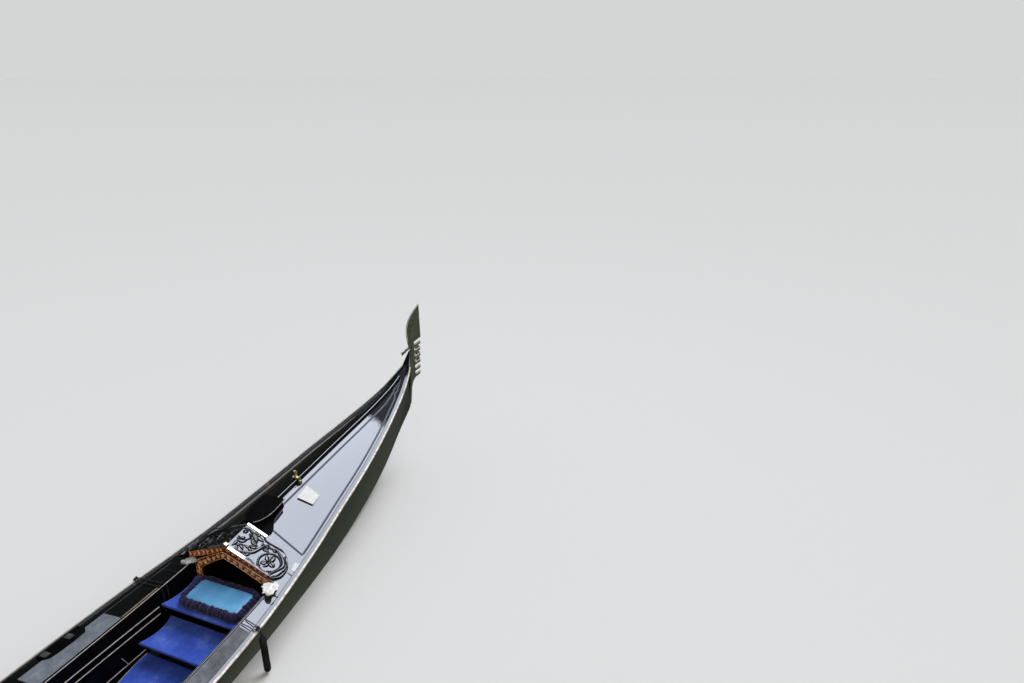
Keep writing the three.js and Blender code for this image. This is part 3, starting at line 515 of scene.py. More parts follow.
plush = makeCloth("navy plush fringe", ("#0c0a22", "#1d183c", "#352d5c"), 5, {
    "Roughness": 0.95, "Sheen Weight": 0.4, "Sheen Roughness": 0.4, "Specular IOR Level": 0.15}, 0.002, 40)
satin = makeSatin()
leather = makeLeather()
paleMat = makeMatting("grey ribbed rubber matting", ("#53595f", "#6b727a", "#868d95"))
darkMat = makeMatting("worn dark rubber matting", ("#43454a", "#62656b", "#84878c"))
# Also the grey painted reflection streak near the port gunwale
padRubberAndStreak = makeMatting("greyed rubber pads, and a painted reflection streak", ("#272c2a", "#3d4340", "#565d59"))
rubber = makeMatting("black moulded rubber", ("#0b0b0c", "#161617", "#2b2b2b"))
# White of the starboard leaf bracket, standing in for the sky mirrored in it: a painted reflection
paintedReflectionWhite = makeEnamel("white over gesso, painted sky reflection", ("#d8d8d2", "#f6f6f2"), 0.28)
# Pale steel for the blade's edges and tooth tops: a painted highlight
paintedHighlightSteel = makeEnamel("pale steel, painted highlight along its edges", ("#8f8e7c", "#d3d2c2"), 0.3)
whitened = makeEnamel("sun-bleached white enamel", ("#b9bab6", "#d6d7d4"), 0.5)
# Grey copy of the bracket white for the port bracket, which lies in shade: painted shade
paintedShadeGrey = makeEnamel("grey over gesso, painted shade", ("#5e5f5c", "#a3a4a1"), 0.3)
paleBrass = makeMetal("tarnished pale brass", ("#c9bb86", "#e9dca6"), (0.3, 0.5), 0.5, 2)
# Lighter copy of the cream line, for the port gunwale: a painted highlight
paintedHighlightCream = makeEnamel("cream enamel line, lighter as painted highlight", ("#cfccc3", "#f0eee8"), 0.4)
# Beige enamel for trims and rails, also used as painted highlight lines on the port coaming and the spade
beigeEnamelAndHighlight = makeEnamel("beige enamel, and painted highlight lines", ("#948b84", "#bdb5af"), 0.4)
# Also the tan painted reflection streak by the port coaming
umberEnamelAndStreak = makeEnamel("umber enamel line, and a painted reflection streak", ("#5b5038", "#7c7052"), 0.45)
navyInlay = makeEnamel("navy inlay line", ("#0a0c18", "#12162a"), 0.5)
tarred = makeCloth("tarred line", ("#0e0d0c", "#1c1b1a", "#34322f"), 2, {"Roughness": 0.9}, 0.0008, 30)
print("finishes made")


# Piece makers
def finishPiece(piece, finish, body="hull", replaced=()):
    piece.data.materials.clear()
    piece.data.materials.append(finish)
    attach(piece, body)
    if replaced:
        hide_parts(*replaced)
    return piece


def together(*parts):
    points, faces = [], []
    for somePoints, someFaces in parts:
        faces += [[int(k) + len(points) for k in face] for face in someFaces]
        points += np.asarray(somePoints, dtype=float).tolist()
    return points, faces


def meshPiece(name, shape, finish, body="hull", replaced=(), sharp=35, marks=None):
    points, faces = shape
    mesh = bpy.data.meshes.new(name)
    mesh.from_pydata(np.asarray(points, dtype=float).tolist(), [],
                     [[int(k) for k in face] for face in faces])
    for key, values in (marks or {}).items():
        attribute = mesh.attributes.new(key, "FLOAT", "POINT")
        attribute.data.foreach_set("value", np.asarray(values, dtype=float))
    bm = bmesh.new()
    bm.from_mesh(mesh)
    bmesh.ops.remove_doubles(bm, verts=bm.verts, dist=1e-6)
    bmesh.ops.recalc_face_normals(bm, faces=bm.faces)
    bm.to_mesh(mesh)
    bm.free()
    mesh.polygons.foreach_set("use_smooth", [True] * len(mesh.polygons))
    mesh.set_sharp_from_angle(angle=math.radians(sharp))
    piece = bpy.data.objects.new(name, mesh)
    scene.collection.objects.link(piece)
    return finishPiece(piece, finish, body, replaced)


def loft(loops, closed=False):
    loops = np.asarray(loops, dtype=float)
    rings, count = loops.shape[:2]
    faces = []
    for i in range(rings if closed else rings - 1):
        a, b = i * count, ((i + 1) % rings) * count
        faces += [(a + j, a + (j + 1) % count, b + (j + 1) % count, b + j) for j in range(count)]
    if not closed:
        faces += [tuple(range(count)), tuple(range((rings - 1) * count, rings * count))]
    return loops.reshape(-1, 3), faces


def alongHull(xs, section, side=1):
    loops = []
    for x in xs:
        h = hullAt(x)
        loops.append([(x, h.middle + side * y, z) for y, z in section(h)])
    return loops


def rounded(corners, steps=3):
    loop = []
    for i, (y, z, radius) in enumerate(corners):
        here = np.array((y, z))
        before, after = np.array(corners[i - 1][:2]), np.array(corners[(i + 1) % len(corners)][:2])
        if not radius:
            loop.append(tuple(here))
            continue
        toBefore, toAfter = before - here, after - here
        reachBefore, reachAfter = np.linalg.norm(toBefore), np.linalg.norm(toAfter)
        start = here + toBefore * min(radius, reachBefore / 2) / reachBefore
        end = here + toAfter * min(radius, reachAfter / 2) / reachAfter
        for t in np.linspace(0, 1, steps + 1):
            loop.append(tuple((1 - t) ** 2 * start + 2 * t * (1 - t) * here + t**2 * end))
    return loop


def smoothPath(points, steps=6, closed=False):
    points = [np.array(p, dtype=float) for p in points]
    count = len(points)
    path = []
    for i in range(count if closed else count - 1):
        ends = ((i + k) % count if closed else min(max(i + k, 0), count - 1) for k in (-1, 0, 1, 2))
        a, b, c, d = (points[k] for k in ends)
        for t in np.arange(steps) / steps:
            path.append(0.5 * (2 * b + (c - a) * t + (2 * a - 5 * b + 4 * c - d) * t**2
                               + (3 * b - a - 3 * c + d) * t**3))
    if not closed:
        path.append(points[-1])
    return np.array(path)


def plate(outline, thickness, toWorld, bevel=0.002, segments=2):
    # Prism of a flat outline with its rim rounded; toWorld turns (u, v, w) into a place
    bm = bmesh.new()
    base = bm.faces.new([bm.verts.new((u, v, -thickness / 2)) for u, v in outline])
    grown = bmesh.ops.extrude_face_region(bm, geom=[base])
    for vert in (e for e in grown["geom"] if isinstance(e, bmesh.types.BMVert)):
        vert.co.z = thickness / 2
    if bevel:
        rim = [e for e in bm.edges if abs(e.verts[0].co.z - e.verts[1].co.z) < 1e-9]
        bmesh.ops.bevel(bm, geom=rim, offset=bevel, segments=segments, profile=0.6, affect="EDGES",
                        clamp_overlap=True)
    bm.verts.index_update()
    points = [toWorld(*v.co) for v in bm.verts]
    faces = [[v.index for v in f.verts] for f in bm.faces]
    bm.free()
    return points, faces


def upright(y, x=0):
    return lambda u, v, w: (x + u, y + w, v)


def level(z):
    return lambda u, v, w: (u, v, z + w)


def across(x):
    return lambda u, v, w: (x + w, u, v)


def curveTo(start, control, end, steps=8):
    t = np.linspace(0, 1, steps + 1)[1:, None]
    a, b, c = (np.array(p, dtype=float) for p in (start, control, end))
    return [tuple(p) for p in (1 - t) ** 2 * a + 2 * t * (1 - t) * b + t**2 * c]


def tracePath(start, *steps):
    # Outline from a start point, straight to a point or round a control point to the next
    path = [tuple(start)]
    for step in steps:
        path += curveTo(path[-1], step[0], step[1]) if isinstance(step[0], tuple) else [tuple(step)]
    return path


def tube(path, radius, sides=10, closed=False, squashed=1.0):
    # Round bar along a path; radius may be one number or one for each point
    path = np.asarray(path, dtype=float)
    radii = np.broadcast_to(radius, (len(path),))
    ahead = np.roll(path, -1, 0) - np.roll(path, 1, 0)
    if not closed:
        ahead[0], ahead[-1] = path[1] - path[0], path[-1] - path[-2]
    ahead /= np.linalg.norm(ahead, axis=1)[:, None]
    up = np.array((0, 0, 1.0)) if abs(ahead[0][2]) < 0.9 else np.array((1.0, 0, 0))
    turn = np.linspace(0, 2 * math.pi, sides, endpoint=False)
    loops = []
    for place, forward, size in zip(path, ahead, radii):
        up = up - forward * up.dot(forward)
        up /= np.linalg.norm(up)
        sideways = np.cross(forward, up)
        loops.append([place + size * (sideways * math.cos(a) + squashed * up * math.sin(a)) for a in turn])
    return loft(loops, closed)


# Sides, in one smooth run, and the rubbed gunwale over them
shell = {"step": 0.04, "levels": 12}
wale = {"bead": 0.0035, "slope": 0.01}


def sideSection(h):
    low = h.sheer - build["waleDepth"]
    levels = [h.keel + (low - h.keel) * t for t in np.linspace(0, 1, shell["levels"])]
    levels.append(h.sheer - build["capDrop"])
    outer = [(skin(h, z), z) for z in levels]
    return outer + [(y - build["plank"], z) for y, z in reversed(outer)]


def gunwaleSection(h):
    low, top = h.sheer - build["waleDepth"], h.sheer - build["capDrop"] + build["gap"]
    foot = skin(h, low) + build["waleProud"] - 0.006
    return rounded([
        (skin(h, low) + build["gap"], low, 0), (foot, low, 0.004), (h.half - 0.001, h.sheer - 0.026, 0.006),
        (h.half, h.sheer - 0.016, 0.005), (h.half - 0.004, h.sheer - wale["slope"], 0.006),
        (h.half - build["capWidth"], h.sheer + 0.002, 0.007),
        (h.half - build["capWidth"], h.sheer - 0.009, 0.002),
        (h.half - build["capWidth"], top, 0), (skin(h, h.sheer - build["capDrop"]) + build["gap"], top, 0),
    ])


def beadSection(h):
    z = h.sheer - build["waleDepth"] + 0.003
    y = skin(h, z) + build["waleProud"] - 0.008
    turn = np.linspace(0, 2 * math.pi, 10, endpoint=False)
    return [(y + wale["bead"] * math.cos(a), z + 0.8 * wale["bead"] * math.sin(a)) for a in turn]


edgeLine = {"in": 0.0135, "down": 0.0105, "proud": 0.0016, "portRise": 0.0098}


def edgeSection(side):
    def section(h):
        near, far = h.half - edgeLine["in"], h.half + edgeLine["proud"] * 0.5
        crown = h.sheer - wale["slope"]
        low, top = crown - edgeLine["down"], crown + edgeLine["proud"] + edgeLine["portRise"] * (side > 0)
        return rounded([(near, low, 0), (far, low, 0.002), (far, top - 0.007, 0.005),
                        (h.half - 0.005, top, 0.005), (near, top + 0.002, 0.0015)], 3)
    return section


longRun = run(-build["plankEnd"], build["plankEnd"], shell["step"])
for hand, side in hands.items():
    nodes = [f"side_planking_{hand}_{place}" for place in ("aft", "middle", "fore")]
    meshPiece(f"sides_{hand}", loft(alongHull(longRun, sideSection, side)), lacquer,
              replaced=nodes)
    loops = alongHull(longRun, gunwaleSection, side)
    count = len(loops[0])
    rub = np.array([1.0 if 5 <= j <= 18 else 0.35 for j in range(count)])
    meshPiece(f"capped_gunwale_{hand}", loft(loops), wornCap, replaced=[f"gunwale_{hand}"],
              sharp=50, marks={"rubbed": np.tile(rub, len(loops))})
    meshPiece(f"wale_bead_{hand}", loft(alongHull(longRun, beadSection, side)), umberEnamelAndStreak)
    # The port line takes the lighter cream, a painted highlight; the starboard one is the chipped cream
    # enamel
    meshPiece(f"gunwale_line_{hand}", loft(alongHull(longRun, edgeSection(side), side)),
              paintedHighlightCream if side > 0 else lineEnamel, sharp=50)


# Decks, with the hatchway cut out of the foredeck
hatch = {"inner": 0.19, "sweep": 0.312, "opening": 0.12, "thickness": 0.024, "seat": 0.0009,
         "waistDepth": 0.15, "waistReach": 0.27}


def hatchHalf(x):
    t = min(max((x - build["wellFore"]) / (build["hatchFore"] - build["wellFore"]), 0), 1)
    waist = 1 - hatch["waistDepth"] * max(0, 1 - t / hatch["waistReach"]) ** 2
    return hatch["inner"] + hatch["sweep"] * waist * (1 - t**4) ** 0.6


def deckSection(inner):
    def section(h):
        outer = h.half - build["capWidth"] - build["gap"]
        near = min(inner(h.x), outer - 0.005)
        thick = build["deck"]
        return rounded([(outer, camber(h, outer), 0.002), (near, camber(h, near), 0.0015),
                        (near, camber(h, near) - thick, 0), (outer, camber(h, outer) - thick, 0)], 2)
    return section


foreRun = list(run(build["wellFore"], build["hatchFore"] - 0.002, 0.015))
solidRun = list(run(build["hatchFore"], build["plankEnd"], shell["step"]))
sternRun = run(-build["plankEnd"], build["wellAft"], shell["step"])
for hand, side in hands.items():
    loops = alongHull(foreRun, deckSection(lambda x: hatchHalf(x) - hatch["opening"]), side)
    loops += alongHull(solidRun, deckSection(lambda x: build["gap"]), side)
    meshPiece(f"foredeck_panel_{hand}", loft(loops), bowLacquer, replaced=[f"foredeck_{hand}"])
    loops = alongHull(sternRun, deckSection(lambda x: build["gap"]), side)
    meshPiece(f"stern_panel_{hand}", loft(loops), lacquer, replaced=[f"stern_deck_{hand}"])
print("hull and decks made")


# Side decks and the coamings round the well
def sideDeckSection(side):
    def section(h):
        outer = h.half - build["capWidth"] - build["gap"]
        inner = wellEdge(h, side) + build["coaming"] + build["gap"]
        thick = build["deck"]
        return [(outer, sideDeckTop(h, 0)), (inner, sideDeckTop(h, 1)),
                (inner, sideDeckTop(h, 1) - thick), (outer, sideDeckTop(h, 0) - thick)]
    return section


def floorTop(h):
    return h.keel + build["plank"] + 2 * build["gap"] + build["frame"] + build["floorBoard"]


def coamingSection(side):
    def section(h):
        inner = wellEdge(h, side)
        top = h.sheer + build["coamingRise"] - 0.002
        foot = floorTop(h) + build["gap"] if side > 0 else h.sheer - build["starboardDepth"]
        wide = build["coaming"]
        return rounded([(inner, foot, 0), (inner + wide, foot, 0), (inner + wide, top, 0.007),
                        (inner, top, 0.007)])
    return section


coamingLine = {"proud": 0.0008, "reach": 0.0047, "depth": 0.005, "round": 0.002}


def coamingLineSection(side):
    def section(h):
        top = h.sheer + build["coamingRise"]
        near, far = wellEdge(h, side) - coamingLine["proud"], wellEdge(h, side) + coamingLine["reach"]
        low, curve = top - coamingLine["depth"], coamingLine["round"]
        return rounded([(near, low, 0), (far, low, 0), (far, top, curve), (near, top, curve)])
    return section


wellRun = run(build["wellAft"] + 0.001, build["wellFore"] - 0.001, 0.05)
for hand, side in hands.items():
    meshPiece(f"side_deck_panel_{hand}", loft(alongHull(wellRun, sideDeckSection(side), side)), lacquer,
              replaced=[f"side_deck_{hand}"])
    meshPiece(f"well_coaming_{hand}", loft(alongHull(wellRun, coamingSection(side), side)),
              insidePaint if side > 0 else lacquer,
              replaced=[f"coaming_{hand}"], sharp=50)
    # On the port side this strip is beige, a painted highlight along the coaming's rounded top; on starboard
    # it is plain lacquer
    meshPiece(f"coaming_line_{hand}", loft(alongHull(wellRun, coamingLineSection(side), side)),
              beigeEnamelAndHighlight if side > 0 else lacquer, sharp=50)

# Cappings along the ridge, with the wedge that ends the fore one at the hatch
capping = {"half": 0.027, "rise": 0.03, "seat": 0.0009, "aft": 2.6245, "fore": 4.876, "sternFirst": -4.968,
           "rim": 0.0022}
# Columns: x, half width at the foot, half width on top, rise over the ridge
wedgeRows = np.array([[2417, 172, 40, 36], [2456, 182, 86, 40], [2515, 158, 112, 42], [2565, 120, 124, 45],
                      [2624.5, 96, 124, 46], [2745, 92, 112, 46]]) / 1000


def cappingSection(h):
    wide = min(capping["half"], (h.half - build["capWidth"]) * 0.8)
    crown = camber(h, 0) + capping["rise"]
    base = camber(h, wide) + capping["seat"]
    return rounded([(-wide, base, 0), (0, camber(h, 0) + capping["seat"], 0), (wide, base, 0),
                    (wide, crown - 0.012, 0.004), (wide * 0.72, crown, 0.005), (-wide * 0.72, crown, 0.005),
                    (-wide, crown - 0.012, 0.004)], 2)


def wedgeLoop(x, foot, top, rise):
    # Flat top on hollow flanks: the flank leaves the foot steeply and leans out under the top's edge
    h = hullAt(x)
    crown = camber(h, 0) + rise
    low = camber(h, foot) + 2 * capping["seat"]
    waist = min(foot, top) * 0.88
    flank = []
    for t in np.linspace(0, 1, 9):
        y = (1 - t) ** 2 * foot + 2 * t * (1 - t) * (2 * waist - (foot + top) / 2) + t**2 * top
        z = low + (crown - 0.004 - low) * t**1.1
        flank.append((y, max(z, camber(h, y) + 2 * capping["seat"])))
    loop = flank + [(top - 0.003, crown), (0, crown), (0.003 - top, crown)]
    loop += [(-y, z) for y, z in reversed(flank)]
    loop.append((0, camber(h, 0) + 2 * capping["seat"]))
    return [(x, h.middle + y, z) for y, z in loop]


cappingRun = run(capping["aft"], capping["fore"], 0.04)
meshPiece("fore_capping", loft(alongHull(cappingRun, cappingSection)), lacquer,
          replaced=["foredeck_ridge_capping"])
spadeLoops = [wedgeLoop(*row) for row in smoothPath(wedgeRows, 6)]
meshPiece("capping_spade", loft(spadeLoops), insidePaint, sharp=40)
# Beige line along the spade's starboard top edge only: a painted highlight
meshPiece("spade_rim_highlight", tube([loop[11] for loop in spadeLoops], capping["rim"], 6), beigeEnamelAndHighlight)
sternCappingRun = run(capping["sternFirst"], build["wellAft"], 0.04)
meshPiece("stern_capping", loft(alongHull(sternCappingRun, cappingSection)), lacquer,
          replaced=["stern_ridge_capping"])

# Posts. Columns: past the plank ends, foot, head, half width at the foot and at the head.
postRows = np.array([
    [0.4, 640, 1152, 24, 57], [20, 650, 1180, 21, 50], [36, 680, 1205, 18, 43], [52, 735, 1230, 15, 36],
    [66, 800, 1252, 13, 31], [80, 875, 1272, 11, 26], [91, 975, 1288, 10, 22], [100, 1100, 1298, 9, 18],
    [108, 1220, 1306, 8, 14], [113, 1285, 1310, 7, 10],
]) / 1000


def postLoops(rows, end):
    middle = hullAt(build["plankEnd"]).middle
    loops = []
    for out, foot, head, footHalf, headHalf in smoothPath(rows, 3):
        shoulder = max(head - 0.016, foot + 0.008)
        loop = rounded([(footHalf, foot, 0.003), (headHalf, shoulder, 0.004), (headHalf * 0.6, head, 0.004),
                        (-headHalf * 0.6, head, 0.004), (-headHalf, shoulder, 0.004),
                        (-footHalf, foot, 0.003)], 2)
        loops.append([(end * (build["plankEnd"] + out), middle + y, z) for y, z in loop])
    return loops


meshPiece("stem_post_faired", loft(postLoops(postRows, 1)), lacquer, replaced=["stem_post"])
sternRows = postRows + np.array([0, 0.004, -0.018, 0, 0.004])
meshPiece("stern_post_faired", loft(postLoops(sternRows, -1)), lacquer, replaced=["stern_post"])

# Stem iron: swelling blade, one tooth aft, six forward with leaf sprays between the upper ones
iron = {"thickness": 0.009, "bevel": 0.0022, "teeth": 6, "first": 1.347, "pitch": 0.076, "depth": 0.042,
        "root": 5.257, "tip": 5.408, "shift": 0.006, "edgeHighlight": 0.0012}
ironMiddle = hullAt(5.2).middle
bladeBack = np.array([[5410, 1806], [5345, 1786], [5285, 1761], [5201, 1719], [5149, 1675], [5112, 1619],
                      [5098, 1554], [5097, 1485], [5113, 1419]]) / 1000
stripBack = np.array([[5176, 1318], [5172.5, 1250], [5164.5, 1150], [5155, 1010], [5141.5, 860],
                      [5121, 720], [5101, 650], [5085, 627]]) / 1000
stripFront = np.array([[5100, 622], [5121, 646], [5144, 756], [5166, 852], [5205, 900]]) / 1000
ironOutline = list(smoothPath(bladeBack, 3)) + [(5.131, 1.363), (4.965, 1.354), (4.975, 1.306),
                                                (5.131, 1.326)]
ironOutline += list(smoothPath(stripBack, 2)) + list(smoothPath(stripFront, 2))
for i in reversed(range(iron["teeth"])):
    top = iron["first"] - i * iron["pitch"]
    tip = iron["tip"] - i * iron["shift"]
    ironOutline += [(iron["root"], top - iron["depth"]), (tip, top - iron["depth"]), (tip, top),
                    (iron["root"], top)]
ironOutline += [(iron["root"], 1.378), (5.42, 1.385)]
meshPiece("toothed_blade", plate(ironOutline, iron["thickness"], upright(ironMiddle), iron["bevel"]),
          bladeSteel, replaced=["stem_iron"])
spray = {"thickness": 0.012, "width": 0.011, "count": 3, "root": 5.262, "reach": 0.128, "bevel": 0.003}


def sprayEdge(z, t, way):
    swell = spray["width"] * math.sin(math.pi * t) ** 0.7 * (1 + 0.3 * math.cos(18 * t))
    return spray["root"] + spray["reach"] * t, z + way * swell


sprays = []
for i in range(spray["count"]):
    z = iron["first"] - i * iron["pitch"] - iron["depth"] / 2 - iron["pitch"] / 2
    u = np.linspace(0, 1, 15)
    outline = [sprayEdge(z, t, 1) for t in u] + [sprayEdge(z, t, -1) for t in u[-2:0:-1]]
    sprays.append(plate(outline, spray["thickness"], upright(ironMiddle), spray["bevel"]))
meshPiece("leaf_sprays", together(*sprays), bronze)
# Painted highlights: pale plates along the blade's back edge, the band under it and the tops of the teeth,
# standing in for the sky mirrored in their bevels
band = smoothPath(bladeBack, 3)
along = np.gradient(band, axis=0)
inward = np.stack((-along[:, 1], along[:, 0]), 1) / np.linalg.norm(along, axis=1)[:, None]
outlines = [[tuple(p) for p in band] + [tuple(p) for p in (band + 0.011 * inward)[::-1]],
            [(5.125, 1.362), (4.967, 1.3535), (4.967, 1.341), (5.125, 1.35)]]
for i in range(iron["teeth"]):
    top, tip = iron["first"] - i * iron["pitch"], iron["tip"] - i * iron["shift"]
    outlines.append([(iron["root"] + 0.012, top - 0.015), (tip - 0.001, top - 0.015), (tip - 0.001, top),
                     (iron["root"] + 0.012, top)])
edgeHighlight = [plate(outline, iron["thickness"] + iron["edgeHighlight"], upright(ironMiddle), 0.002)
         for outline in outlines]
meshPiece("painted_highlight_edges", together(*edgeHighlight), paintedHighlightSteel)
sternOutline = tracePath((-5.102, 0.655), (-5.122, 0.65), ((-5.19, 0.86), (-5.215, 1.06)),
                         ((-5.335, 1.24), (-5.425, 1.395)), ((-5.295, 1.37), (-5.215, 1.34)),
                         ((-5.12, 1.33), (-5.06, 1.375)), ((-5.11, 1.3), (-5.176, 1.3)), (-5.174, 1.24),
                         ((-5.168, 1.0), (-5.142, 0.862)))
meshPiece("stern_blade", plate(sternOutline, iron["thickness"], upright(ironMiddle, 0.0023), iron["bevel"]),
          bladeSteel, replaced=["stern_iron"])
print("posts and irons made")


# Carving: strokes are a path, half widths along it, a height and whether a vein is cut along it, in metres
def leafStroke(start, angle, length, width, bend, height):
    path, heading, spot = [], math.radians(angle), np.array(start, dtype=float)
    for k in range(8):
        path.append(spot.copy())
        spot += length / 7 * np.array((math.cos(heading), math.sin(heading)))
        heading += math.radians(bend) / 7
    widths = width * np.sin(np.pi * np.linspace(0.06, 0.98, 8) ** 0.8)
    return np.array(path), widths, height, True


def spiralStroke(centre, outer, inner, turns, startAngle, width, height, hand=1):
    t = np.linspace(0, 1, max(8, int(26 * turns)))
    angle = math.radians(startAngle) + hand * 2 * math.pi * turns * t
    radius = outer + (inner - outer) * t**0.85
    path = np.stack((centre[0] + radius * np.cos(angle), centre[1] + radius * np.sin(angle)), 1)
    return path, width * (1 - 0.55 * t), height, False


def curveStroke(points, widths, height, veined=False):
    path = smoothPath(points, 5)
    return path, np.interp(np.linspace(0, 1, len(path)), np.linspace(0, 1, len(widths)),
                           widths), height, veined


def carveField(u, v, strokes, groove):
    # Height of overlapping half-round strokes, and how deep the tool went beside them
    field, cuts = np.zeros_like(u), np.zeros_like(u)
    for path, widths, height, veined in strokes:
        wide = widths.max() + 3 * groove
        low, high = path.min(0) - wide, path.max(0) + wide
        near = (u > low[0]) & (u < high[0]) & (v > low[1]) & (v < high[1])
        if not near.any():
            continue
        us, vs = u[near], v[near]
        best, gap = np.zeros_like(us), np.full_like(us, 1.0)
        for a, b, wideA, wideB in zip(path[:-1], path[1:], widths[:-1], widths[1:]):
            step = b - a
            t = np.clip(((us - a[0]) * step[0] + (vs - a[1]) * step[1]) / max(step @ step, 1e-12), 0, 1)
            away = np.hypot(us - a[0] - t * step[0], vs - a[1] - t * step[1])
            wide = np.maximum(wideA + (wideB - wideA) * t, 1e-4)
            best = np.maximum(best, np.sqrt(np.clip(1 - (away / wide) ** 2, 0, 1))
                              * (1 - 0.5 * veined * np.exp(-((away / wide / 0.25) ** 2))))
            gap = np.minimum(gap, away - wide)
        inside = gap < 0
        field[near] = np.where(inside, np.maximum(field[near] * 0.35, height * best), field[near])
        beside = np.exp(-((np.abs(gap) / groove) ** 2))
        cuts[near] = np.where(inside, np.minimum(cuts[near], 0.25) + 0.75 * beside,
                              np.maximum(cuts[near], beside))
    return field, np.clip(cuts, 0, 1)


carving = {"pitch": 0.002, "columns": 441, "relief": 0.0085, "groove": 0.0026, "depth": 0.004,
           "edge": 0.006, "edgeDrop": 0.0015, "plainRidge": 0.012, "ring": (0.103, 0.359, 0.095)}


def scrollStrokes():
    # Acanthus scroll of one slope: u runs forward from the hatch's aft edge, v outward from the ridge
    high = carving["relief"]
    ringU, ringV, ringRadius = carving["ring"]
    strokes = []
    for spot, angle, size, bend in (
            ((0.205, 0.09), 60, 0.09, -60), ((0.2, 0.1), 95, 0.085, 50), ((0.215, 0.075), 20, 0.07, 60),
            ((0.19, 0.12), 130, 0.075, -50), ((0.225, 0.12), 70, 0.08, 40), ((0.24, 0.09), 110, 0.09, 30),
            ((0.17, 0.06), 200, 0.06, 60), ((0.11, 0.03), 150, 0.06, 60), ((0.12, 0.045), 80, 0.06, -60),
            ((0.075, 0.06), 30, 0.055, 60), ((0.07, 0.07), 170, 0.05, -60), ((0.09, 0.08), 100, 0.05, 40),
            ((0.12, 0.145), 20, 0.05, 60), ((0.12, 0.145), 140, 0.05, -60), ((0.115, 0.15), 250, 0.045, 50),
            ((0.13, 0.155), 80, 0.05, -40), ((0.045, 0.14), 100, 0.05, 50), ((0.035, 0.16), 60, 0.055, -60),
            ((0.02, 0.2), 70, 0.05, 60), ((0.03, 0.215), 120, 0.045, -50), ((0.012, 0.25), 80, 0.045, 60),
            ((0.01, 0.29), 60, 0.04, -50), ((0.215, 0.205), 150, 0.05, -50), ((0.205, 0.22), 70, 0.055, 60),
            ((0.2, 0.265), 200, 0.045, 60), ((0.225, 0.3), 130, 0.04, -40), ((0.17, 0.245), 60, 0.05, 50)):
        strokes.append(leafStroke(spot, angle, size, size * 0.2, bend, high))
    strokes.append(spiralStroke((0.194, 0.043), 0.062, 0.05, 0.75, -60, 0.0065, high))
    strokes.append(spiralStroke((0.219, 0.026), 0.02, 0.008, 0.9, 0, 0.006, high))
    strokes.append(curveStroke([(0.036, 0.105), (0.066, 0.159), (0.098, 0.197), (0.142, 0.213),
                                (0.19, 0.225), (0.228, 0.249)],
                               (0.006, 0.013, 0.012, 0.007), high * 1.1))
    strokes.append(curveStroke([(0.228, 0.249), (0.217, 0.28), (0.229, 0.328), (0.211, 0.381), (0.19, 0.42),
                                (0.146, 0.456), (0.096, 0.448), (0.05, 0.4335), (0.001, 0.42)],
                               (0.005, 0.006, 0.011, 0.0105, 0.006), high))
    strokes.append(curveStroke([(0.282, 0.02), (0.286, 0.1), (0.274, 0.17), (0.249, 0.212), (0.254, 0.3),
                                (0.258, 0.384), (0.243, 0.415), (0.209, 0.422), (0.186, 0.455),
                                (0.172, 0.474), (0.13, 0.485), (0.089, 0.484), (0.05, 0.478),
                                (0.027, 0.462), (0.006, 0.45)], (0.004, 0.005, 0.005),
                               high * 0.8))
    for angle, size, bend in ((-25, 0.062, 70), (20, 0.068, -60), (75, 0.05, 60), (120, 0.05, -50),
                              (165, 0.05, 60), (205, 0.055, 60), (250, 0.05, -60), (295, 0.058, 50)):
        spot = (ringU + 0.012 * math.cos(math.radians(angle)),
                ringV - 0.01 + 0.012 * math.sin(math.radians(angle)))
        strokes.append(leafStroke(spot, angle, size, size * 0.22, bend, high))
    strokes.append(spiralStroke((ringU, ringV), ringRadius, ringRadius * 0.86, 1.02, 150, 0.0075, high))
    strokes.append(spiralStroke((ringU - 0.004, ringV - 0.012), 0.017, 0.004, 1.3, 0, 0.006, high * 1.1))
    return strokes


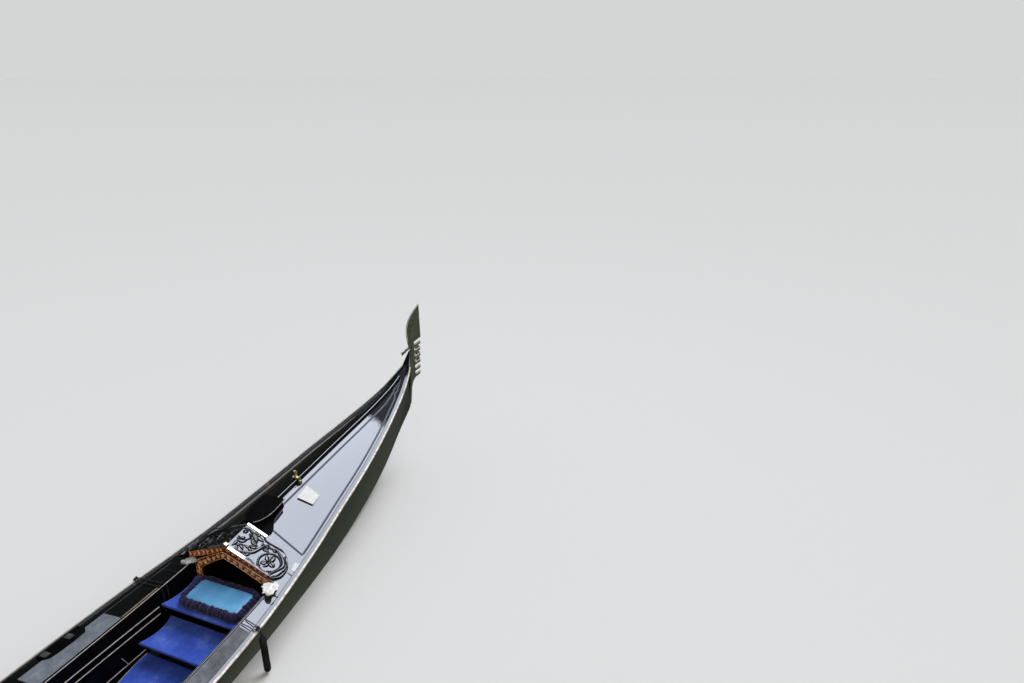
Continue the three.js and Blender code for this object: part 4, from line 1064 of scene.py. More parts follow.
def makeHatch():
    xs = run(build["wellFore"], build["hatchFore"], carving["pitch"])
    share = np.linspace(-1, 1, carving["columns"])
    strokes = scrollStrokes()
    hs = [hullAt(x) for x in xs]
    halves = np.array([hatchHalf(x) for x in xs])
    v = halves[:, None] * share[None, :]
    u = np.repeat((xs - build["wellFore"])[:, None], len(share), 1)
    half = carving["columns"] // 2
    relief, cuts = carveField(u[:, half:], v[:, half:], strokes, carving["groove"])
    relief, cuts = (np.hstack((field[:, :0:-1], field))
                    for field in (relief - carving["depth"] * cuts, cuts))
    rim = np.clip(np.minimum(halves[:, None] - np.abs(v),
                             np.minimum(u, xs[-1] - build["wellFore"] - u)) / carving["edge"], 0, 1)
    quiet = rim * np.clip(np.abs(v) / carving["plainRidge"], 0, 1)
    relief, cuts = relief * quiet, cuts * quiet
    points = []
    for i, h in enumerate(hs):
        lift = hatch["seat"] + hatch["thickness"]
        ground = camber(h, 0) - np.abs(v[i]) * h.ridge / (h.half - build["capWidth"])
        z = ground + lift - carving["edgeDrop"] * (1 - rim[i])
        points += list(zip(np.full(len(share), h.x), h.middle + v[i], z + relief[i]))
    rows, columns = v.shape
    first = len(points)
    for i, h in enumerate(hs):
        for y in (-halves[i], 0.0, halves[i]):
            points.append((h.x, h.middle + y, camber(h, y) + hatch["seat"]))
    faces = []
    for i in range(rows - 1):
        a, b = i * columns, (i + 1) * columns
        faces += [(a + j, a + j + 1, b + j + 1, b + j) for j in range(columns - 1)]
        low, after = first + 3 * i, first + 3 * i + 3
        faces += [(low, after, after + 1, low + 1), (low + 1, after + 1, after + 2, low + 2)]
        faces += [(a, b, after, low), (a + columns - 1, low + 2, after + 2, b + columns - 1)]
    last = (rows - 1) * columns
    faces.append([*range(columns), first + 2, first + 1, first])
    faces.append([*range(last, last + columns), first + 3 * rows - 1, first + 3 * rows - 2,
                  first + 3 * rows - 3][::-1])
    # The cut marks also carry painted shade into the finish, darkest beside the strokes
    marks = {"cut_shade": np.concatenate((cuts.ravel(), np.zeros(3 * rows)))}
    meshPiece("carved_hatch_lid", (points, faces), carvedLacquer, body="hatch",
              replaced=["carved_hatch"], sharp=60, marks=marks)


makeHatch()


def hatchStrip(xs, reach, rise, lift):
    loops = []
    for x in xs:
        h = hullAt(x)
        base = lambda y: camber(h, y) + hatch["thickness"] + lift
        side, ridge = base(reach), base(0)
        loops.append([(x, h.middle + y, z) for y, z in [
            (reach, side), (reach, side + rise), (0, ridge + rise), (-reach, side + rise), (-reach, side),
            (0, ridge)]])
    return loft(loops)


trims = {"rise": 0.007, "aftReach": 0.19, "lineReach": 0.43, "foreReach": 0.19, "aftWidth": 0.026,
         "lineWidth": 0.017}
wellFore, hatchFore = build["wellFore"], build["hatchFore"]
aftEnds, lineEnds = (wellFore, wellFore + trims["aftWidth"]), (wellFore, wellFore + trims["lineWidth"])
broad = hatchStrip(aftEnds, trims["aftReach"], trims["rise"], 0.0027)
meshPiece("aft_strip", broad, nickel, body="hatch", replaced=["hatch_trim_aft"])
nosing = hatchStrip(lineEnds, trims["lineReach"], trims["rise"] * 0.5, 0.0026)
meshPiece("hatch_nosing", nosing, lacquer, body="hatch", sharp=20)
fascia = {"low": -0.03, "high": 0.0235, "rows": 11, "step": 0.003, "pitch": 0.052}


def makeFascia():
    # Running leaf scroll under the lid's aft edge; each loop is one station, its marks say what is gilded
    edge = hullAt(wellFore)
    loops, marks = [], []
    for y in run(-trims["lineReach"] + 0.012, trims["lineReach"] - 0.012, fascia["step"]):
        base = camber(edge, y)
        rows = np.linspace(0, 1, fascia["rows"])
        wave = 2 * math.pi * y / fascia["pitch"]
        scroll = np.cos(wave + 2.4 * np.sin(math.pi * rows) * math.copysign(1, y))
        scroll += 0.8 * np.cos(1.63 * wave - 4.2 * rows)
        heights = np.clip(scroll * 0.9, 0, 1) * np.sin(math.pi * rows) ** 0.5
        heights[-1] = heights[0] = 0.6
        front = [(wellFore - 0.0004 - 0.0012 * lift, edge.middle + y,
                  base + fascia["low"] + (fascia["high"] - fascia["low"]) * row)
                 for row, lift in zip(rows, heights)]
        loops.append(front + [(wellFore - 0.0001, *front[-1][1:]), (wellFore - 0.0001, *front[0][1:])])
        marks += [*(0.25 + 0.75 * heights), 0.3, 0.3]
    meshPiece("hatch_fascia", loft(loops), gilding, body="hatch",
              marks={"carved": np.array(marks)})


makeFascia()
fore = hatchStrip((hatchFore - 0.024, hatchFore - 0.002), trims["foreReach"], trims["rise"], 0.0018)
meshPiece("fore_strip", fore, nickel, body="hatch", replaced=["hatch_trim_fore"])
print("hatch carved")


# Inlaid lines and seams on the polished decks
inlay = {"width": 0.0185, "height": 0.0012, "margin": 0.026, "ridge": 0.072, "aft": 2.452,
         "aftRidge": 2.495, "tip": 4.88}


def deckPoint(x, y, lift=0.0):
    h = hullAt(x)
    return np.array((x, h.middle + y, camber(h, y) + lift))


def deckRibbon(path, width, height, closed=False):
    # Flat ribbon on the deck along (x, y) points, y from the middle line
    path = np.asarray(path, dtype=float)
    ahead = np.roll(path, -1, 0) - np.roll(path, 1, 0)
    if not closed:
        ahead[0], ahead[-1] = path[1] - path[0], path[-1] - path[-2]
    ahead /= np.linalg.norm(ahead, axis=1)[:, None]
    loops = []
    for (x, y), (dx, dy) in zip(path, ahead):
        loops.append([deckPoint(x - dy * s * width / 2, y + dx * s * width / 2, lift)
                      for s, lift in ((-1, 0.0003), (-0.7, height), (0.7, height), (1, 0.0003))])
    return loft(loops, closed)


def inlayPath(side):
    edge = lambda x: hullAt(x).half - build["capWidth"]
    outward = [(x, edge(x) - min(inlay["margin"], 0.3 * edge(x)))
               for x in run(inlay["aft"] + 0.02, 4.62, 0.06)]
    inward = [(x, min(inlay["ridge"], 0.45 * edge(x))) for x in run(4.62, inlay["aftRidge"] + 0.26, 0.06)]
    cusp = [(4.68, edge(4.68) * 0.62), (4.72, edge(4.72) * 0.7), (inlay["tip"], edge(inlay["tip"]) * 0.5),
            (4.72, edge(4.72) * 0.36), (4.68, edge(4.68) * 0.44)]
    aft = [(inlay["aftRidge"] + 0.2, 0.098), (inlay["aftRidge"] + 0.004, 0.125), (inlay["aftRidge"], 0.14)]
    path = outward + cusp + inward + aft + [(inlay["aft"] + 0.002, edge(inlay["aft"]) - inlay["margin"])]
    return [(x, side * y) for x, y in path]


ribbons = [deckRibbon(inlayPath(side), inlay["width"], inlay["height"], True) for side in (1, -1)]
meshPiece("deck_inlay_lines", together(*ribbons), navyInlay)
hatchSeam = {"ends": ((2.24, 0.502), (2.238, 0.546)), "width": 0.011, "height": 0.0012}
seams = [deckRibbon([(x, side * y) for x, y in hatchSeam["ends"]], hatchSeam["width"], hatchSeam["height"])
         for side in (1, -1)]
meshPiece("deck_seams", together(*seams), navyInlay)


def sideSeam(x, side):
    # Seam across one side deck, from the coaming to the gunwale
    h = hullAt(x)
    inner, outer = wellEdge(h, side) + build["coaming"] + 0.002, h.half - build["capWidth"] - 0.002
    loops = []
    for share in np.linspace(0, 1, 4):
        y, z = inner + (outer - inner) * share, sideDeckTop(h, 1 - share)
        loops.append([(x + dx, h.middle + side * y, z + lift) for dx, lift in (
            (-0.004, 0.0002), (-0.003, 0.0012), (0.003, 0.0012), (0.004, 0.0002))])
    return loft(loops)


def reflectionStreakSection(reflectionStreak):
    def section(h):
        inner, outer = sideDeckReach(h, 1)
        y, z = inner + (outer - inner) * reflectionStreak["share"], sideDeckTop(h, 1 - reflectionStreak["share"])
        w = reflectionStreak["width"] / 2
        return rounded([(y - w, z, 0), (y + w, z, 0), (y + w, z + 0.003, 0.001), (y - w, z + 0.003, 0.001)])
    return section


# Thin strips on the port side deck ahead of its mat: painted reflections, a grey line near the gunwale and a
# tan one by the coaming
reflectionStreaks = {
    "outer": {"share": 0.77, "width": 0.006, "aft": 1.4, "fore": 2.0, "finish": padRubberAndStreak},
    "inner": {"share": 0.08, "width": 0.014, "aft": 1.4, "fore": 1.73, "finish": umberEnamelAndStreak},
}
for place, reflectionStreak in reflectionStreaks.items():
    strip = loft(alongHull(run(reflectionStreak["aft"], reflectionStreak["fore"], 0.05), reflectionStreakSection(reflectionStreak), 1))
    meshPiece(f"{place}_deck_reflection_streak", strip, reflectionStreak["finish"], sharp=50)
seamSpots = (-1.6, -0.4, 0.45, 1.93, 2.01)
sideSeams = [sideSeam(x, side) for x in seamSpots for side in (1, -1)]
meshPiece("side_deck_seams", together(*sideSeams), navyInlay)
tag = {"corners": ((2.352, -0.484), (2.373, -0.527), (2.297, -0.56), (2.277, -0.512)),
       "thickness": 0.0025, "lifts": (0.0006,) * 4}


def slopePlate(corners, thickness, lifts, steps=6):
    # Plate on the deck's slope from four corners in plan, each with its own lift
    a, b, c, d = (np.array(corner) for corner in corners)
    loops = []
    for t in np.linspace(0, 1, steps):
        near, far = a + (b - a) * t, d + (c - d) * t
        liftNear, liftFar = lifts[0] + (lifts[1] - lifts[0]) * t, lifts[3] + (lifts[2] - lifts[3]) * t
        e = thickness * 0.3
        loops.append([deckPoint(*near, liftNear), deckPoint(*near, liftNear + thickness - e),
                      deckPoint(*(near + (far - near) * 0.01), liftNear + thickness),
                      deckPoint(*(far + (near - far) * 0.01), liftFar + thickness),
                      deckPoint(*far, liftFar + thickness - e), deckPoint(*far, liftFar)])
    return loft(loops)


tagShape = slopePlate(tag["corners"], tag["thickness"], tag["lifts"])
meshPiece("bare_tag", tagShape, whitened, sharp=30)
barePlate = {"corners": ((3.056, -0.042), (3.05, -0.183), (2.919, -0.2), (2.888, -0.057)),
             "thickness": 0.005, "lifts": (0.001, 0.001, 0.012, 0.012)}
corners = [(x, y - hullAt(x).middle) for x, y in barePlate["corners"]]
meshPiece("bare_plate", slopePlate(corners, barePlate["thickness"], barePlate["lifts"]), whitened,
          replaced=["blank_plate"], sharp=30)

# Leaf brackets over the coamings at the hatch's aft corners
bracket = {"thickness": 0.008, "vein": 0.012, "rise": 0.009}
leafOutline = np.array([[-156, 30], [-138, 10], [-151, -14], [-128, -18], [-118, -40], [-104, -34],
                        [-94, -72], [-78, -54], [-62, -80], [-50, -50], [-34, -56], [-34, -6], [-8, -6],
                        [-8, 24], [-26, 34], [-30, 58], [-52, 56], [-72, 80], [-86, 60], [-104, 66],
                        [-112, 54], [-126, 78], [-136, 54], [-156, 60], [-156, 70]]) / 1000
# Paths of the raised veins, mm from the hatch's aft edge and outboard of the coaming
leafVeins = [[(-30, 4), (-70, 6), (-112, 16), (-150, 34)], [(-44, 0), (-64, -24), (-84, -66)],
             [(-40, 4), (-46, -30), (-56, -72)], [(-70, 4), (-96, -10), (-122, -28)],
             [(-48, 8), (-58, 40), (-72, 72)], [(-80, 12), (-96, 34), (-106, 60)],
             [(-100, 16), (-122, 40), (-134, 68)],
             [(-34, 6), (-32, 30), (-34, 50)], [(-110, 14), (-136, 2), (-150, -8)]]


def leafBracket(side):
    base = wellAt(build["wellFore"]) + build["coaming"] / 2
    top = hullAt(build["wellFore"]).sheer + build["coamingRise"] + build["gap"]
    size = 0.72 if side > 0 else 1.0
    place = lambda u, v, w: (build["wellFore"] + u * size, side * (base + v * size), top + w * size)
    shapes = [plate([tuple(p) for p in leafOutline[:-1]], bracket["thickness"],
                    lambda u, v, w: place(u, v, w + bracket["thickness"] / 2), 0.002)]
    for vein in leafVeins:
        path = smoothPath(np.array(vein) / 1000, 5)
        t = np.linspace(0, 1, len(path))
        spots = [place(u, v, 0.006 + bracket["rise"] * math.sin(math.pi * min(s * 0.75 + 0.25, 1)) * 0.55)
                 for (u, v), s in zip(path, t)]
        shapes.append(tube(spots, bracket["vein"] * (1.05 - 0.75 * t**1.5), 8, squashed=0.4))
    curl = np.linspace(0, 1, 26)
    spots = [place(-0.132 + (0.026 - 0.02 * s) * math.cos(9 * s),
                   0.05 + (0.026 - 0.02 * s) * math.sin(9 * s), 0.014 + 0.006 * s)
             for s in curl]
    shapes.append(tube(spots, 0.008 - 0.003 * curl, 8))
    return together(*shapes)


# The starboard bracket is painted white as a reflection of the sky; the port one takes a grey copy as
# painted shade
for hand, side in hands.items():
    meshPiece(f"leaf_bracket_{hand}", leafBracket(side), paintedShadeGrey if side > 0 else paintedReflectionWhite,
              replaced=[f"scroll_bracket_{hand}"], sharp=40)

# Arched board under the hatch's aft edge: running scrolls, carved and gilded
board = {"foot": 0.2, "leg": 0.068, "band": 0.072, "bulge": 0.012, "x": 2.079, "thickness": 0.024,
         "relief": 0.006, "columns": 620, "rows": 30, "groove": 0.0018, "scroll": 0.062}


def boardEdges(s):
    # Outer and inner edge at s, from the port foot over the arch to the starboard foot
    h = hullAt(build["wellFore"])
    side, t = (1, 2 * s) if s <= 0.5 else (-1, 2 - 2 * s)
    reach, shoulder = wellAt(h.x) - build["gap"], h.sheer + build["coamingRise"] - 0.006
    peak = camber(h, 0) - 0.004
    near, knee = reach - board["leg"], shoulder - board["band"]
    if t < 0.45:
        outer = (side * reach, board["foot"] + (shoulder - board["foot"]) * t / 0.45)
        inner = (side * near, board["foot"] + (knee - board["foot"]) * t / 0.45)
    else:
        k = (t - 0.45) / 0.55
        outer = (side * reach * (1 - k) + h.middle * k, shoulder + (peak - shoulder) * k)
        lift = board["bulge"] * math.sin(math.pi * k) ** 0.7
        inner = (side * near * (1 - k) + h.middle * k, knee + (peak - board["band"] - knee) * k + lift)
    return np.array(outer), np.array(inner)


def makeArchBoard():
    count, rows = board["columns"], board["rows"]
    edges = [boardEdges(s) for s in np.linspace(0, 1, count)]
    middle = np.array([(a + b) / 2 for a, b in edges])
    along = np.concatenate(([0], np.cumsum(np.linalg.norm(np.diff(middle, axis=0), axis=1))))
    wide = np.array([np.linalg.norm(a - b) for a, b in edges])
    u = np.repeat(along[:, None], rows, 1)
    v = (np.linspace(0, 1, rows)[None, :] - 0.5) * wide[:, None]
    strokes, high = [], board["relief"]
    spots = np.arange(0.035, along[-1] - 0.02, board["scroll"])
    for k, spot in enumerate(spots):
        w = np.interp(spot, along, wide)
        flip = 1 if k % 2 else -1
        strokes.append(spiralStroke((spot, flip * w * 0.08), w * 0.3, w * 0.05, 1.5, 90 * flip, w * 0.07,
                                    high, flip))
        for angle in (20, 75, 130, 200, 260, 320):
            start = (spot + w * 0.28 * math.cos(math.radians(angle)),
                     flip * w * 0.08 + w * 0.28 * math.sin(math.radians(angle)))
            strokes.append(leafStroke(start, angle + 30 * flip, w * 0.24, w * 0.055, 55 * flip, high * 0.8))
    relief = carveField(u, v, strokes, board["groove"])[0]
    inset = wide[:, None] / 2 - np.abs(v)
    band = np.exp(-(((inset - 0.005) / 0.0022) ** 2)) * high * 0.9
    relief = np.maximum(relief * np.clip((inset - 0.008) / 0.004, 0, 1), band)
    share = np.linspace(0, 1, rows)
    front, back = [], []
    for i, (outer, inner) in enumerate(edges):
        for j, k in enumerate(share):
            y, z = outer + (inner - outer) * k
            front.append((board["x"] + high - relief[i, j], y, z))
    for outer, inner in edges:
        back += [(board["x"] + board["thickness"], *outer), (board["x"] + board["thickness"], *inner)]
    faces, first = [], len(front)
    for i in range(count - 1):
        a, b = i * rows, (i + 1) * rows
        faces += [(a + j, a + j + 1, b + j + 1, b + j) for j in range(rows - 1)]
        low, after = first + 2 * i, first + 2 * i + 2
        faces += [(low, after, after + 1, low + 1), (a, b, after, low),
                  (a + rows - 1, low + 1, after + 1, b + rows - 1)]
    last = (count - 1) * rows
    faces.append([*range(rows), first + 1, first])
    faces.append([*range(last, last + rows), first + 2 * count - 1, first + 2 * count - 2])
    carved = np.concatenate((np.clip(relief / high, 0, 1).ravel(), np.zeros(2 * count)))
    meshPiece("carved_arch_board", (front + back, faces), gilding, replaced=["arch_board"],
              sharp=60, marks={"carved": carved})


makeArchBoard()
print("brackets and arch board carved")

# Steps in blue carpet, their port edges hollowed in a curve and bound in navy
steps = {
    "upper_step": {"aft": 1.695, "fore": 2.06, "top": 0.33, "half": 0.41},
    "lower_step": {"aft": 1.43, "fore": 1.75, "top": 0.17, "half": 0.402},
}
stepLook = {"thickness": 0.026, "hollow": 0.042, "roll": 0.007, "piping": 0.0035}


def carpetedStep(name, step):
    half, hollow = step["half"], stepLook["hollow"]
    middle = (step["aft"] + step["fore"]) / 2
    port = curveTo((step["aft"], half), (middle, half - 2 * hollow), (step["fore"], half), 14)
    outline = [(step["aft"], half)] + port + [(step["fore"], -half), (step["aft"], -half)]
    shape = plate(outline, stepLook["thickness"], level(step["top"] - stepLook["thickness"] / 2),
                  stepLook["roll"], 3)
    meshPiece(f"{name}_carpet", shape, carpet, replaced=[name], sharp=50)
    rim = step["top"] - stepLook["thickness"] + 0.004
    edge = [(x, y, rim) for x, y in [(step["fore"] - 0.004, half)] + port[::-1][1:]]
    edge.append((step["aft"], half - 0.002, rim))
    edge += [(step["aft"], y, rim) for y in np.linspace(half - 0.01, -half, 20)]
    meshPiece(f"{name}_piping", tube(edge, stepLook["piping"], 8), binding)


for name, step in steps.items():
    carpetedStep(name, step)


# Cushion on the upper step: satin panel in a deep plush border
cushion = {"x": (1.714, 2.06), "y": (-0.356, 0.316), "z": (0.3308, 0.421), "roll": 0.036, "tufts": 30000,
           "tuft": 0.018, "tuftWidth": 0.0036}


def pillow(x, y, z, power=3.4, pinch=0.05, grid=(44, 70), flat=0.35):
    # Crowned closed form: sides pull in between the corners; it lies flat underneath
    us, vs = np.linspace(-1, 1, grid[0]), np.linspace(-1, 1, grid[1])
    u, v = np.meshgrid(us, vs, indexing="ij")
    centre = ((x[0] + x[1]) / 2, (y[0] + y[1]) / 2)
    halfX, halfY = (x[1] - x[0]) / 2, (y[1] - y[0]) / 2
    tall = ((1 - np.abs(u) ** power) * (1 - np.abs(v) ** power)) ** 0.42
    px = centre[0] + halfX * u * (1 - pinch * (1 - v**2))
    py = centre[1] + halfY * v * (1 - pinch * (1 - u**2))
    seam = z[0] + (z[1] - z[0]) * flat
    top = np.stack((px, py, seam + (z[1] - seam) * tall), -1)
    bottom = np.stack((px, py, seam - (seam - z[0]) * np.clip(tall * 1.25, 0, 1)), -1)
    return top, bottom


def closedShell(top, bottom):
    rows, columns = top.shape[:2]
    size = rows * columns
    faces = []
    for i in range(rows - 1):
        for j in range(columns - 1):
            a, b = i * columns + j, (i + 1) * columns + j
            faces += [(a, a + 1, b + 1, b), (size + a, size + b, size + b + 1, size + a + 1)]
    return np.concatenate((top.reshape(-1, 3), bottom.reshape(-1, 3))), faces


def growNodes(name, source, tree, values, finish, body="hull"):
    # Runs a node tree on a piece and keeps the result as a plain mesh
    modifier = source.modifiers.new("grow", "NODES")
    modifier.node_group = tree
    for item in tree.interface.items_tree:
        if item.in_out == "INPUT" and item.name in values:
            modifier[item.identifier] = values[item.name]
    evaluated = source.evaluated_get(bpy.context.evaluated_depsgraph_get())
    mesh = bpy.data.meshes.new_from_object(evaluated)
    source.modifiers.remove(modifier)
    mesh.name = name
    piece = bpy.data.objects.new(name, mesh)
    scene.collection.objects.link(piece)
    return finishPiece(piece, finish, body)


def newTree(name, inputs):
    tree = bpy.data.node_groups.new(name, "GeometryNodeTree")
    tree.interface.new_socket("Shape", in_out="INPUT", socket_type="NodeSocketGeometry")
    for key, (kind, value) in inputs.items():
        tree.interface.new_socket(key, in_out="INPUT",
                                  socket_type=f"NodeSocket{kind}").default_value = value
    tree.interface.new_socket("Shape", in_out="OUTPUT", socket_type="NodeSocketGeometry")
    return tree, addNode(tree, "NodeGroupInput").outputs


def tuftTree(finish):
    # Tufts stand out of a surface, each leaning its own way
    tree, given = newTree("plush tufts", {
        "Tufts per square metre": ("Float", 40000.0), "Tuft length": ("Float", 0.014),
        "Tuft width": ("Float", 0.0035), "Lean": ("Float", 0.6), "Seed": ("Int", 3)})
    spots = addNode(tree, "GeometryNodeDistributePointsOnFaces", {
        "Mesh": given["Shape"], "Density": given["Tufts per square metre"], "Seed": given["Seed"]})
    tuft = addNode(tree, "GeometryNodeMeshCone", {
        "Vertices": 5, "Radius Top": 0.0, "Radius Bottom": given["Tuft width"],
        "Depth": given["Tuft length"]})
    spread = addNode(tree, "ShaderNodeVectorMath", {0: (1, 1, 1), "Scale": given["Lean"]},
                     operation="SCALE")
    back = addNode(tree, "ShaderNodeVectorMath", {0: spread.outputs[0], "Scale": -1.0}, operation="SCALE")
    lean = addNode(tree, "FunctionNodeRandomValue",
                   {0: back.outputs[0], 1: spread.outputs[0], "Seed": given["Seed"]},
                   data_type="FLOAT_VECTOR")
    turned = addNode(tree, "FunctionNodeRotateRotation",
                     {"Rotation": spots.outputs["Rotation"], "Rotate By": lean.outputs[0]},
                     rotation_space="LOCAL")
    placed = addNode(tree, "GeometryNodeInstanceOnPoints", {
        "Points": spots.outputs["Points"], "Instance": tuft.outputs[0], "Rotation": turned.outputs[0]})
    whole = addNode(tree, "GeometryNodeRealizeInstances", {0: placed.outputs[0]})
    both = addNode(tree, "GeometryNodeJoinGeometry")
    tree.links.new(whole.outputs[0], both.inputs[0])
    tree.links.new(given["Shape"], both.inputs[0])
    coloured = addNode(tree, "GeometryNodeSetMaterial", {"Geometry": both.outputs[0], "Material": finish})
    addNode(tree, "NodeGroupOutput", {0: coloured.outputs[0]})
    return tree


def makeFringedCushion():
    roll = cushion["roll"]
    inner = [(a + roll * 1.35, b - roll * 1.35) for a, b in (cushion["x"], cushion["y"])]
    top, bottom = pillow(*inner, (cushion["z"][0] + 0.02, cushion["z"][0] + 0.064), 9.0, 0.0, flat=0.4)
    pad = meshPiece("satin_cushion", closedShell(top, bottom), satin,
                    replaced=["fringed_cushion"], sharp=80)
    (x0, x1), (y0, y1) = [(a + roll, b - roll) for a, b in (cushion["x"], cushion["y"])]
    corners = [(x0, y0), (x1, y0 + 0.02), (x1, y1), (x0, y1 - 0.03)]
    path = []
    for k, (a, b) in enumerate(zip(corners, corners[1:] + corners[:1])):
        a, b = np.array(a), np.array(b)
        path += [a + (b - a) * t for t in np.linspace(0.1, 0.9, 9 if k % 2 else 5)]
    path = smoothPath(path, 4, True)
    wave = np.linspace(0, 2 * math.pi, len(path), endpoint=False)
    size = roll * (1 + 0.06 * np.sin(23 * wave) + 0.07 * np.sin(37 * wave + 1))
    high = cushion["z"][0] + size + 0.002 * np.sin(7 * wave)
    points, faces = tube(np.column_stack((path, high)), size * 0.88, 14, True, 1.1)
    core = bpy.data.objects.new("plush_roll", bpy.data.meshes.new("plush_roll"))
    core.data.from_pydata(points.tolist(), [], faces)
    scene.collection.objects.link(core)
    values = {"Tufts per square metre": float(cushion["tufts"]), "Tuft length": cushion["tuft"],
              "Tuft width": cushion["tuftWidth"]}
    growNodes("plush_border", core, tuftTree(plush), values, plush)
    bpy.data.objects.remove(core)


makeFringedCushion()
print("steps and cushion made")

# Rails along the port wall of the well, and the thin rods at its foot
rail = {"first": -2.3, "last": 1.68, "heights": (0.305, 0.238), "radius": 0.0038, "off": 0.0045}
rod = {"first": 1.06, "last": 1.49, "height": 0.028, "climb": 0.01, "radius": 0.0035, "off": 0.004}
strut = {"head": (1.292, 0.431, 0.128), "foot": (1.335, 0.431, 0.026), "radius": 0.003}
rails = []
for z in rail["heights"]:
    path = [(x, wellAt(x) - rail["off"], z) for x in run(rail["first"], rail["last"], 0.06)]
    rails.append(tube(path, rail["radius"], 8))
rodPath = [(x, wellAt(x) - rod["off"], rod["height"] + rod["climb"] * (x - 1.0))
           for x in run(rod["first"], rod["last"], 0.06)]
rails += [tube(rodPath, rod["radius"], 8), tube([strut["head"], strut["foot"]], strut["radius"], 8)]
meshPiece("well_wall_rails", together(*rails), beigeEnamelAndHighlight)

# Floor of the well: planks with open seams, and the carpeted platform with its port edge flared out
boards = {"first": -2.269, "last": 1.874, "count": 5, "seam": 0.004, "thickness": 0.014,
          "inset": 0.052}


def plankSection(k):
    def section(h):
        half = h.floor - boards["inset"]
        wide = 2 * half / boards["count"]
        low, high = -half + k * wide + boards["seam"] / 2, -half + (k + 1) * wide - boards["seam"] / 2
        top = floorTop(h)
        return rounded([(low, top - boards["thickness"], 0), (high, top - boards["thickness"], 0),
                        (high, top, 0.002), (low, top, 0.002)], 2)
    return section


plankRun = run(boards["first"], boards["last"], 0.12)
planks = [loft(alongHull(plankRun, plankSection(k))) for k in range(boards["count"])]
meshPiece("floor_planks", together(*planks), tarredOak, replaced=["floor_boards"])

platform = {"aft": -0.657, "fore": 1.488, "starboard": -0.325, "port": 0.395, "flare": 0.031, "from": 1.1,
            "thickness": 0.028, "roll": 0.008, "trim": 0.0028}


def platformSection(h):
    t = min(max((h.x - platform["from"]) / (platform["fore"] - platform["from"] - 0.08), 0), 1)
    port = platform["port"] - 0.006 + platform["flare"] * t * t * (3 - 2 * t)
    low = floorTop(h) + build["gap"]
    top = low + platform["thickness"]
    return [(y - h.middle, z) for y, z in rounded([
        (platform["starboard"], low, 0), (port, low, 0), (port, top, platform["roll"]),
        (platform["starboard"], top, platform["roll"])], 4)]


platformLoops = alongHull(run(platform["aft"], platform["fore"], 0.03), platformSection)
meshPiece("platform_carpet", loft(platformLoops), carpet, replaced=["carpeted_platform"],
          sharp=50)
platformEdge = tube([loop[4] for loop in platformLoops], platform["trim"], 8)
meshPiece("platform_trim", platformEdge, beigeEnamelAndHighlight)
print("floor of the well laid")


# Mats on the side decks, ribbed along the boat, and the fittings on the port one
mats = {
    "starboard": {"aft": 0.494, "fore": 1.644, "inner": 0.04, "outer": 1.11, "ribs": 22, "finish": darkMat},
    "port": {"aft": 0.724, "fore": 1.39, "inner": 0.06, "outer": 0.77, "ribs": 16, "finish": paleMat},
}
matLook = {"lift": 0.0009, "thickness": 0.004, "rib": 0.0012, "facets": 6}


def matShape(mat, side):
    loops = []
    count = mat["ribs"] * matLook["facets"]
    for x in run(mat["aft"], mat["fore"], 0.03):
        h = hullAt(x)
        inner, outer = sideDeckReach(h, side)
        shares = np.linspace(mat["inner"], mat["outer"], count + 1)
        top, low = [], []
        for k, share in enumerate(shares):
            edge = min(k, count - k) / 3
            z = sideDeckTop(h, 1 - share) + matLook["lift"]
            if share > 0.95:
                z = max(z, h.sheer + 0.0028 - 0.26 * max(share - 1, 0) * (outer - inner))
            wave = 0.5 - 0.5 * math.cos(2 * math.pi * k / matLook["facets"])
            lift = matLook["thickness"] * min(1, 0.5 + edge) + matLook["rib"] * wave * min(1, edge)
            y = h.middle + side * (inner + (outer - inner) * share)
            top.append((x, y, z + lift))
            low.append((x, y, z))
        loops.append(top + [low[-1], low[0]])
    return loft(loops)


for hand, side in hands.items():
    meshPiece(f"ribbed_mat_{hand}", matShape(mats[hand], side), mats[hand]["finish"],
              replaced=[f"deck_mat_{hand}"], sharp=60)


def fittingPlate(outline, low, thickness, bevel):
    # Plate on the port side deck from an outline of (x, share of the deck from the coaming out)
    def toWorld(u, v, w):
        h = hullAt(u)
        inner, outer = sideDeckReach(h, 1)
        return (u, h.middle + inner + (outer - inner) * v, sideDeckTop(h, 1 - v) + low + thickness / 2 + w)
    return plate(outline, thickness, toWorld, bevel)


clamp = {"outline": ((0.9, 0.98), (0.905, 0.74), (0.93, 0.62), (0.96, 0.6), (1.01, 0.57), (1.12, 0.56),
                     (1.2, 0.58), (1.225, 0.7), (1.225, 0.98)),
         "low": 0.0054, "thickness": 0.012}
clampShape = fittingPlate(list(clamp["outline"]), clamp["low"], clamp["thickness"], 0.0015)
meshPiece("port_clamp", clampShape, insidePaint, sharp=40)
pad = {"spots": (0.915, 1.1), "long": 0.045, "inner": 0.7, "outer": 0.93, "low": 0.0175, "thickness": 0.005}
pads = []
for x in pad["spots"]:
    outline = [(x, pad["inner"]), (x + pad["long"], pad["inner"]), (x + pad["long"], pad["outer"]),
               (x, pad["outer"])]
    pads.append(fittingPlate(outline, pad["low"], pad["thickness"], 0.001))
meshPiece("port_clamp_pads", together(*pads), padRubberAndStreak, sharp=40)
print("mats laid")


def box(x, y, z, radius=0.003):
    # Board with its long edges rounded, from its reach along each axis
    outline = [(x[0], y[0]), (x[1], y[0]), (x[1], y[1]), (x[0], y[1])]
    return plate(outline, z[1] - z[0], level((z[0] + z[1]) / 2), radius, 3)


def lathe(profile, centre, sides=24):
    # Turned shape round an upright axis from (radius, height) rows
    turn = np.linspace(0, 2 * math.pi, sides, endpoint=False)
    loops = [[(centre[0] + r * math.cos(a), centre[1] + r * math.sin(a), centre[2] + z) for a in turn]
             for r, z in profile]
    return loft(loops)


